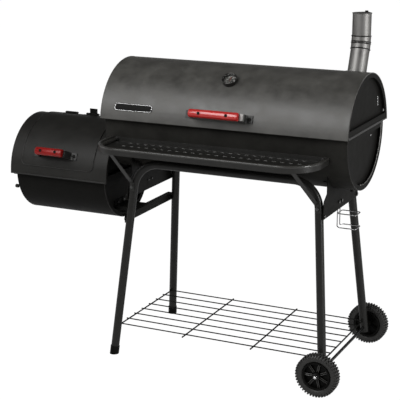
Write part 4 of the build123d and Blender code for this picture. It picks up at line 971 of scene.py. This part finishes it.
bpy.ops.mesh.primitive_circle_add(vertices=BEZEL_SIDES, radius=BEZEL_R, fill_type="NOTHING")
tip_onto_lid(BEZEL_LIFT)
bake_place()
bead_from_wire(BEZEL_BEAD)
hand_over("thermometer_bezel", "lid", "case_steel")

# %% [markdown]
# The wooden grips are planed to a round crown, so the front lamp draws one bright line along them. A cube
# of the grip's size gets its two outer long edges bevelled until the crown is round, and then a small
# bevel all over. It is turned to its handle's angle and takes the place of the frame's plainer block. The
# two screws are short cylinders with a sunk face.

# %% Wooden grips
LID_GRIP_ANGLE = 17.5
DOOR_GRIP_ANGLE = 24
GRIP_W = 27 * MM
GRIP_T = 19 * MM
GRIP_CROWN = 11.5 * MM
GRIP_EDGE = 3 * MM
GRIP_CUT = 0.635 * MM
GRIP_STEPS = 10
SCREW_SIDES = 32
SCREW_AT = 0.56
SCREW_R = 5 * MM
SCREW_RIM = 0.35
SCREW_SINK = 1.2 * MM
SHARP = 40
SOFT_STEPS = 3
FACES_UP = 0.9


def soften(width, limit=SHARP):
    """Bevel the active piece's edges that are sharper than a limit and shade it smooth."""
    soft = bpy.context.object.modifiers.new("soft", "BEVEL")
    soft.width = width
    soft.segments = SOFT_STEPS
    soft.angle_limit = math.radians(limit)
    bpy.ops.object.modifier_apply(modifier=soft.name)
    bpy.ops.object.shade_smooth_by_angle(angle=math.radians(SHARP))


def round_grip(node, body, angle, finish):
    """A grip with a round crown in place of a block of the frame."""
    low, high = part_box(node)
    centre = (low + high) / 2 + Vector((0, -GRIP_CUT, GRIP_CUT))
    length = high.x - low.x
    bpy.ops.mesh.primitive_cube_add(size=1)
    bpy.context.object.scale = (length, GRIP_W, GRIP_T)
    bake_place()
    start_edit()
    pick("edges", lambda edge: edge.calc_length() > GRIP_W * 2 and min(vert.co.z for vert in edge.verts) > 0)
    bpy.ops.mesh.bevel(offset=GRIP_CROWN, segments=GRIP_STEPS)
    bpy.ops.object.mode_set(mode="OBJECT")
    soften(GRIP_EDGE)
    set_facing(angle, centre)
    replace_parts(hand_over(node + "_round", body, "grip_wood", finishes[finish]), node)
    crown = centre + outward(angle) * GRIP_T / 2
    for end, side in (("left", -1), ("right", 1)):
        bpy.ops.mesh.primitive_cylinder_add(vertices=SCREW_SIDES, radius=SCREW_R, depth=GRIP_EDGE)
        start_edit()
        pick("faces", lambda face: face.normal.z > FACES_UP)
        bpy.ops.mesh.inset(thickness=SCREW_R * SCREW_RIM)
        bpy.ops.mesh.extrude_region_move(TRANSFORM_OT_translate={"value": (0, 0, -SCREW_SINK)})
        bpy.ops.object.mode_set(mode="OBJECT")
        soften(GRIP_EDGE / 10)
        set_facing(angle, crown + Vector((side * SCREW_AT * length / 2, 0, 0)))
        hand_over(node + "_screw_" + end, body, "bolt_black", finishes["frame_paint"])


round_grip("lid_grip", "lid", LID_GRIP_ANGLE, "grip_wood")
round_grip("door_grip", "door", DOOR_GRIP_ANGLE, "door_wood_shaded")

# %% [markdown]
# A steel plate is set at the right end of the lid's grip, where it bears on the strap. Its bright grey is
# a painted highlight, standing for the light that the strap's upper bend catches there. It starts as a
# plane beside the grip's end. The outer edge is drawn out and down, and Solidify and Bevel make it
# sheet metal.

# %% Painted highlight plate at the end of the lid's grip
GRIP_LIFT = 40 * MM
PLATE_REACH = 13 * MM
PLATE_WIDTH = 23 * MM
PLATE_DROP = 9 * MM
PLATE_SHEET = 1.6 * MM

grip_low, grip_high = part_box("lid_grip")
grip_half = (grip_high.x - grip_low.x) / 2
grip_foot = Vector(((grip_high.x + grip_low.x) / 2, lid_axis.y, lid_axis.z))

bpy.ops.mesh.primitive_plane_add(size=1, location=(grip_half + PLATE_REACH / 2, 0, 0))
bpy.context.object.scale = (PLATE_REACH, PLATE_WIDTH, 1)
bake_place()
start_edit()
pick("edges", lambda edge: all(vert.co.x > grip_half + PLATE_REACH / 2 for vert in edge.verts))
bpy.ops.mesh.extrude_edges_move(TRANSFORM_OT_translate={"value": (PLATE_SHEET, 0, -PLATE_DROP)})
bpy.ops.object.mode_set(mode="OBJECT")
wall = bpy.context.object.modifiers.new("wall", "SOLIDIFY")
wall.thickness = PLATE_SHEET
wall.offset = 0
bpy.ops.object.modifier_apply(modifier=wall.name)
soften(PLATE_SHEET / 4)
set_facing(LID_GRIP_ANGLE, grip_foot + outward(LID_GRIP_ANGLE) * (lid_radius + GRIP_LIFT))
# painted highlight: the plate's bright grey stands for the light on the strap's bend
hand_over("lid_grip_highlight_plate", "lid", "wire_chrome", finishes["stack_paint"])

# %% [markdown]
# The tyres are solid rubber with chunky blocks. A cylinder without caps is the tread, and both rims are
# drawn in for the shoulder and side wall and bridged along the bore. Two cuts make three rows. Every
# second face of the outer rows, with its shoulder, is drawn out into a lug, and the middle row follows
# half a step on.

# %% Tyres
LUGS = 44
LUG_SPREAD = 1.07
LUG_EDGE = 5 * MM / 12
LUG_SHARP = 30
SHOULDER = 4 * MM
SHOULDER_DROP = 7 * MM
BORE_R = 46 * MM
BEAD_IN = 5 * MM
TREAD_CUT = 6 * MM
NEAR_TREAD, JUST_OVER_TREAD = 0.95, 1.01


def drawn_rim(test, step, scale, centre):
    """Draw an open rim along the axle and towards it."""
    pick("edges", test)
    bpy.ops.mesh.extrude_edges_move(TRANSFORM_OT_translate={"value": (0, step, 0)})
    bpy.ops.transform.resize(value=(scale, 1, scale), center_override=centre)


def lugs_from(test, centre, spread):
    """Draw the picked faces out from the axle into blocks."""
    pick("faces", test)
    bpy.ops.mesh.extrude_region_move(TRANSFORM_OT_translate={"value": (0, 0, 0)})
    bpy.ops.transform.resize(value=(LUG_SPREAD, spread, LUG_SPREAD), center_override=centre)


def tyre(node, body):
    """A tyre with three rows of blocks in place of the frame's."""
    low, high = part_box(node)
    centre = (low + high) / 2
    radius = (high.z - low.z) / 2 / LUG_SPREAD
    half = (high.y - low.y) / 2 / LUG_SPREAD
    bpy.ops.mesh.primitive_cylinder_add(
        vertices=2 * LUGS, radius=radius, depth=2 * (half - SHOULDER), end_fill_type="NOTHING",
        location=centre, rotation=(math.pi / 2, 0, 0))
    bake_place()
    side_r = radius - SHOULDER_DROP

    def open_rim(side):
        def test(edge):
            return edge.is_boundary and all(side * (vert.co.y - centre.y) > 0 for vert in edge.verts)
        return test

    def where(face):
        spot = face.calc_center_median() - centre
        column = int((math.atan2(spot.z, spot.x) / math.tau + 1) * 2 * LUGS)
        return column % 2, math.hypot(spot.x, spot.z), abs(spot.y)

    def on_tread(face):
        return face.normal.dot(face.calc_center_median() - centre) > radius * NEAR_TREAD

    def outer_block(face):
        odd, from_axle, from_middle = where(face)
        return not odd and from_axle > side_r and from_middle > TREAD_CUT

    def middle_block(face):
        odd, from_axle, from_middle = where(face)
        low_enough = side_r < from_axle < radius * JUST_OVER_TREAD
        return odd and low_enough and from_middle < TREAD_CUT / 2

    start_edit()
    for side in (-1, 1):
        drawn_rim(open_rim(side), side * SHOULDER, side_r / radius, centre)
        drawn_rim(open_rim(side), -side * BEAD_IN / 3, (BORE_R + BEAD_IN) / side_r, centre)
        drawn_rim(open_rim(side), -side * BEAD_IN, BORE_R / (BORE_R + BEAD_IN), centre)
    pick("edges", lambda edge: edge.is_boundary)
    bpy.ops.mesh.bridge_edge_loops()
    for side in (-1, 1):
        pick("faces", on_tread)
        bpy.ops.mesh.bisect(plane_co=centre + Vector((0, side * TREAD_CUT, 0)), plane_no=(0, 1, 0))
    lugs_from(outer_block, centre, LUG_SPREAD)
    lugs_from(middle_block, centre, 1)
    bpy.ops.mesh.select_all(action="SELECT")
    bpy.ops.mesh.normals_make_consistent(inside=False)
    bpy.ops.object.mode_set(mode="OBJECT")
    soften(LUG_EDGE, LUG_SHARP)
    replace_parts(hand_over(node + "_lugged", body, "tyre_rubber"), node)


tyre("front_tyre", "front_wheel")
tyre("rear_tyre", "rear_wheel")

# %% [markdown]
# The hub's spokes are pairs of ribs with round glossy tops, in a paler copy of the hub's plastic that paints
# a highlight on them. One pair is the two long sides of a plane.
# Spin copies it round the hub, and the edges become beads. A bright dome, half a sphere, closes each end
# of the axle.

# %% Rib tops and axle caps
SPOKES = 7
RIB_APART = 5 * MM
RIB_FROM = 14 * MM
RIB_TO = 42 * MM
RIB_TOP = 33 * MM
RIB_BEAD = 1.4 * MM
CAP_SEGMENTS, CAP_RINGS = 32, 16
CAP_R = 6.2 * MM
CAP_IN = 6 * MM

nuts_low, nuts_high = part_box("axle_nuts")
for name, side in (("front", -1), ("rear", 1)):
    low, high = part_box(name + "_hub")
    centre = (low + high) / 2
    inner_y = high.y if side < 0 else low.y
    bpy.ops.mesh.primitive_plane_add(size=1, location=((RIB_FROM + RIB_TO) / 2, 0, 0))
    bpy.context.object.scale = (RIB_TO - RIB_FROM, RIB_APART, 1)
    bake_place()
    start_edit()
    bpy.ops.mesh.delete(type="ONLY_FACE")
    pick("edges", lambda edge: edge.calc_length() < RIB_APART * 2)
    bpy.ops.mesh.delete(type="EDGE")
    bpy.ops.mesh.select_all(action="SELECT")
    bpy.ops.mesh.spin(steps=SPOKES - 1, dupli=True, angle=math.tau * (SPOKES - 1) / SPOKES,
                      center=(0, 0, 0), axis=(0, 0, 1))
    bpy.ops.object.mode_set(mode="OBJECT")
    ribs = bpy.context.object
    ribs.rotation_euler = (math.pi / 2, math.pi / SPOKES, 0)
    ribs.location = (centre.x, inner_y + side * RIB_TOP, centre.z)
    bake_place()
    bead_from_wire(RIB_BEAD)
    # painted highlight in part: the rib tops wear the paler copy of the hub's plastic
    hand_over(name + "_hub_rib_tops", name + "_wheel", "hub_plastic", finishes["rib_gloss_and_highlight"])

    end_y = (nuts_low.y if side < 0 else nuts_high.y) - side * CAP_IN
    cap_centre = (centre.x, end_y, centre.z)
    bpy.ops.mesh.primitive_uv_sphere_add(segments=CAP_SEGMENTS, ring_count=CAP_RINGS, radius=CAP_R,
                                         location=cap_centre, rotation=(math.pi / 2, 0, 0))
    bake_place()
    start_edit()
    bpy.ops.mesh.bisect(plane_co=cap_centre, plane_no=(0, side, 0), clear_inner=True, use_fill=True)
    bpy.ops.object.mode_set(mode="OBJECT")
    bpy.ops.object.shade_smooth_by_angle(angle=BEAD_SMOOTH)
    hand_over(name + "_axle_cap", "root", "bolt_zinc", finishes["bright_steel"])

# %% [markdown]
# The rack is plain round wire, welded where it crosses. The frame's box gives its reach. One long edge is
# copied across for the wires and one short edge along for the rods. Both become beads and are joined.

# %% Bottom rack
WIRES = 8
WIRE_R = 2.1 * MM
WIRE_HALF = 193 * MM
RODS = 4
ROD_R = 2.6 * MM
ROD_TAIL = 5 * MM
ROD_DROP = 3.2 * MM


def row_of_wires(start, end, radius, step=(0, 0, 0), count=1):
    """Parallel round wires, or one: an edge of a plane, copied in steps."""
    bpy.ops.object.select_all(action="DESELECT")
    bpy.ops.mesh.primitive_plane_add(size=2)
    start_edit()
    pick("verts", lambda vert: vert.co.y > 0)
    bpy.ops.mesh.delete(type="VERT")
    wire = bmesh.from_edit_mesh(bpy.context.object.data)
    for vert in wire.verts:
        vert.co = start if vert.co.x < 0 else end
    bmesh.update_edit_mesh(bpy.context.object.data)
    bpy.ops.mesh.select_all(action="SELECT")
    for _ in range(count - 1):
        bpy.ops.mesh.duplicate_move(TRANSFORM_OT_translate={"value": step})
    bpy.ops.object.mode_set(mode="OBJECT")
    bead_from_wire(radius)
    return bpy.context.object


rack_low, rack_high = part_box("bottom_rack")
rack_mid = (rack_low + rack_high) / 2
rack_z = rack_high.z - WIRE_R
first_y = rack_mid.y - WIRE_HALF
wires = row_of_wires(Vector((rack_low.x, first_y, rack_z)), Vector((rack_high.x, first_y, rack_z)), WIRE_R,
                     (0, 2 * WIRE_HALF / (WIRES - 1), 0), WIRES)
rod_x, rod_z = rack_low.x + ROD_TAIL, rack_z - ROD_DROP
row_of_wires(Vector((rod_x, rack_low.y, rod_z)), Vector((rod_x, rack_high.y, rod_z)), ROD_R,
             ((rack_high.x - rack_low.x - 2 * ROD_TAIL) / (RODS - 1), 0, 0), RODS)
wires.select_set(True)
bpy.ops.object.join()
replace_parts(hand_over("rack_grille", "root", "rack_wire"), "bottom_rack")

# %% [markdown]
# Where the lid meets the drum, both end panels are turned over into a straight hem, and so is the hood's
# front edge over the firebox. A hem is a single edge made into a bead, with the rack's own helper.

# %% Hems of the end panels and the hood
HEM_BEAD = 2.6 * MM
HEM_UP = 3.4 * MM
HEM_SHORT = 4 * MM

for end in ("left", "right"):
    for node, body, way in (("lid_end_", "lid", 1), ("body_end_", "root", -1)):
        low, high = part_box(node + end)
        x = low.x if end == "left" else high.x
        z = low.z + HEM_UP if way > 0 else high.z - HEM_UP
        row_of_wires(Vector((x, low.y + HEM_SHORT, z)), Vector((x, high.y - HEM_SHORT, z)), HEM_BEAD)
        hand_over(node + end + "_hem", body, "drum_paint", finishes["shelf_coat"])

low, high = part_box("firebox_hood")
hood_radius = high.z - fire_z
lip_z = low.z + HEM_UP
lip_y = lid_axis.y - math.sqrt(hood_radius ** 2 - (lip_z - fire_z) ** 2)
row_of_wires(Vector((low.x, lip_y, lip_z)), Vector((high.x, lip_y, lip_z)), HEM_BEAD)
hand_over("firebox_hood_lip", "root", "drum_paint", finishes["shelf_coat"])

# %% [markdown]
# On the right end a bright line runs down the rear of the drum's rim. It is a painted highlight, a bead
# of silver paint where the rim's edge catches the light from the right. It is a circle cut down to its
# rear part by two bisects and made a bead.

# %% Painted highlight on the rim of the right end panel
EDGE_R = 162.5 * MM
EDGE_BEAD = 2 * MM

panel_low, panel_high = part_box("body_end_right")
bpy.ops.mesh.primitive_circle_add(vertices=SEAM_SIDES, radius=EDGE_R, fill_type="NOTHING",
                                  location=(panel_high.x, lid_axis.y, drum_z), rotation=(0, math.pi / 2, 0))
bake_place()
start_edit()
bpy.ops.mesh.bisect(plane_co=(0, lid_axis.y - EDGE_R / 4, drum_z), plane_no=(0, 1, 0), clear_inner=True)
bpy.ops.mesh.select_all(action="SELECT")
bpy.ops.mesh.bisect(plane_co=(0, lid_axis.y, panel_high.z - HEM_UP), plane_no=(0, 0, 1), clear_outer=True)
bpy.ops.object.mode_set(mode="OBJECT")
bead_from_wire(EDGE_BEAD)
# painted highlight: a silver bead standing for the light on the rim's rear edge
hand_over("body_end_right_painted_highlight", "root", "drum_paint", finishes["stack_paint"])

# %% [markdown]
# Three small bright pieces show on the right end: a strip and a stud on the lid's panel and a clip on
# the drum's. The strip is a painted highlight, standing for the light that the recess wall of the lid's
# panel catches. Each is a small plane drawn out to its thickness and softened.

# %% Bright fittings and a painted highlight on the right end panels
BRIGHT_PIECE_T = 2 * MM
LID_HIGHLIGHT_AT, LID_HIGHLIGHT_SIZE = (0.155, 0.893), (7 * MM, 30 * MM)
LID_STUD_AT, LID_STUD_SIZE = (0.1876, 0.8583), (7 * MM, 6 * MM)
BODY_CLIP_AT, BODY_CLIP_SIZE = (0.1156, 0.7864), (14 * MM, 4 * MM)


def bright_piece(name, body, place, size):
    """A small bright piece on a right end panel. size is its reach along Y and Z."""
    bpy.ops.object.select_all(action="DESELECT")
    bpy.ops.mesh.primitive_plane_add(size=1, location=place, rotation=(0, math.pi / 2, 0))
    bpy.context.object.scale = (size[1], size[0], 1)
    bake_place()
    start_edit()
    bpy.ops.mesh.extrude_region_move(TRANSFORM_OT_translate={"value": (BRIGHT_PIECE_T, 0, 0)})
    bpy.ops.mesh.select_all(action="SELECT")
    bpy.ops.mesh.normals_make_consistent(inside=False)
    bpy.ops.object.mode_set(mode="OBJECT")
    soften(BRIGHT_PIECE_T / 4)
    hand_over(name, body, "bolt_zinc", finishes["bright_steel"])


low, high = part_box("lid_end_right")
# painted highlight: this bright strip stands for the light caught by the lid panel's recess wall
bright_piece("lid_end_highlight_strip", "lid", (low.x + SHEET, *LID_HIGHLIGHT_AT), LID_HIGHLIGHT_SIZE)
bright_piece("lid_end_stud", "lid", (high.x, *LID_STUD_AT), LID_STUD_SIZE)
bright_piece("body_end_clip", "root", (panel_low.x + SHEET, *BODY_CLIP_AT), BODY_CLIP_SIZE)

# %% [markdown]
# The object keeps to the frame's box within a millimetre. Both boxes are written down before the end, so
# that they can be compared.

# %% Finish
low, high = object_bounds()
print("box of the dressed object", tuple(low), tuple(high))
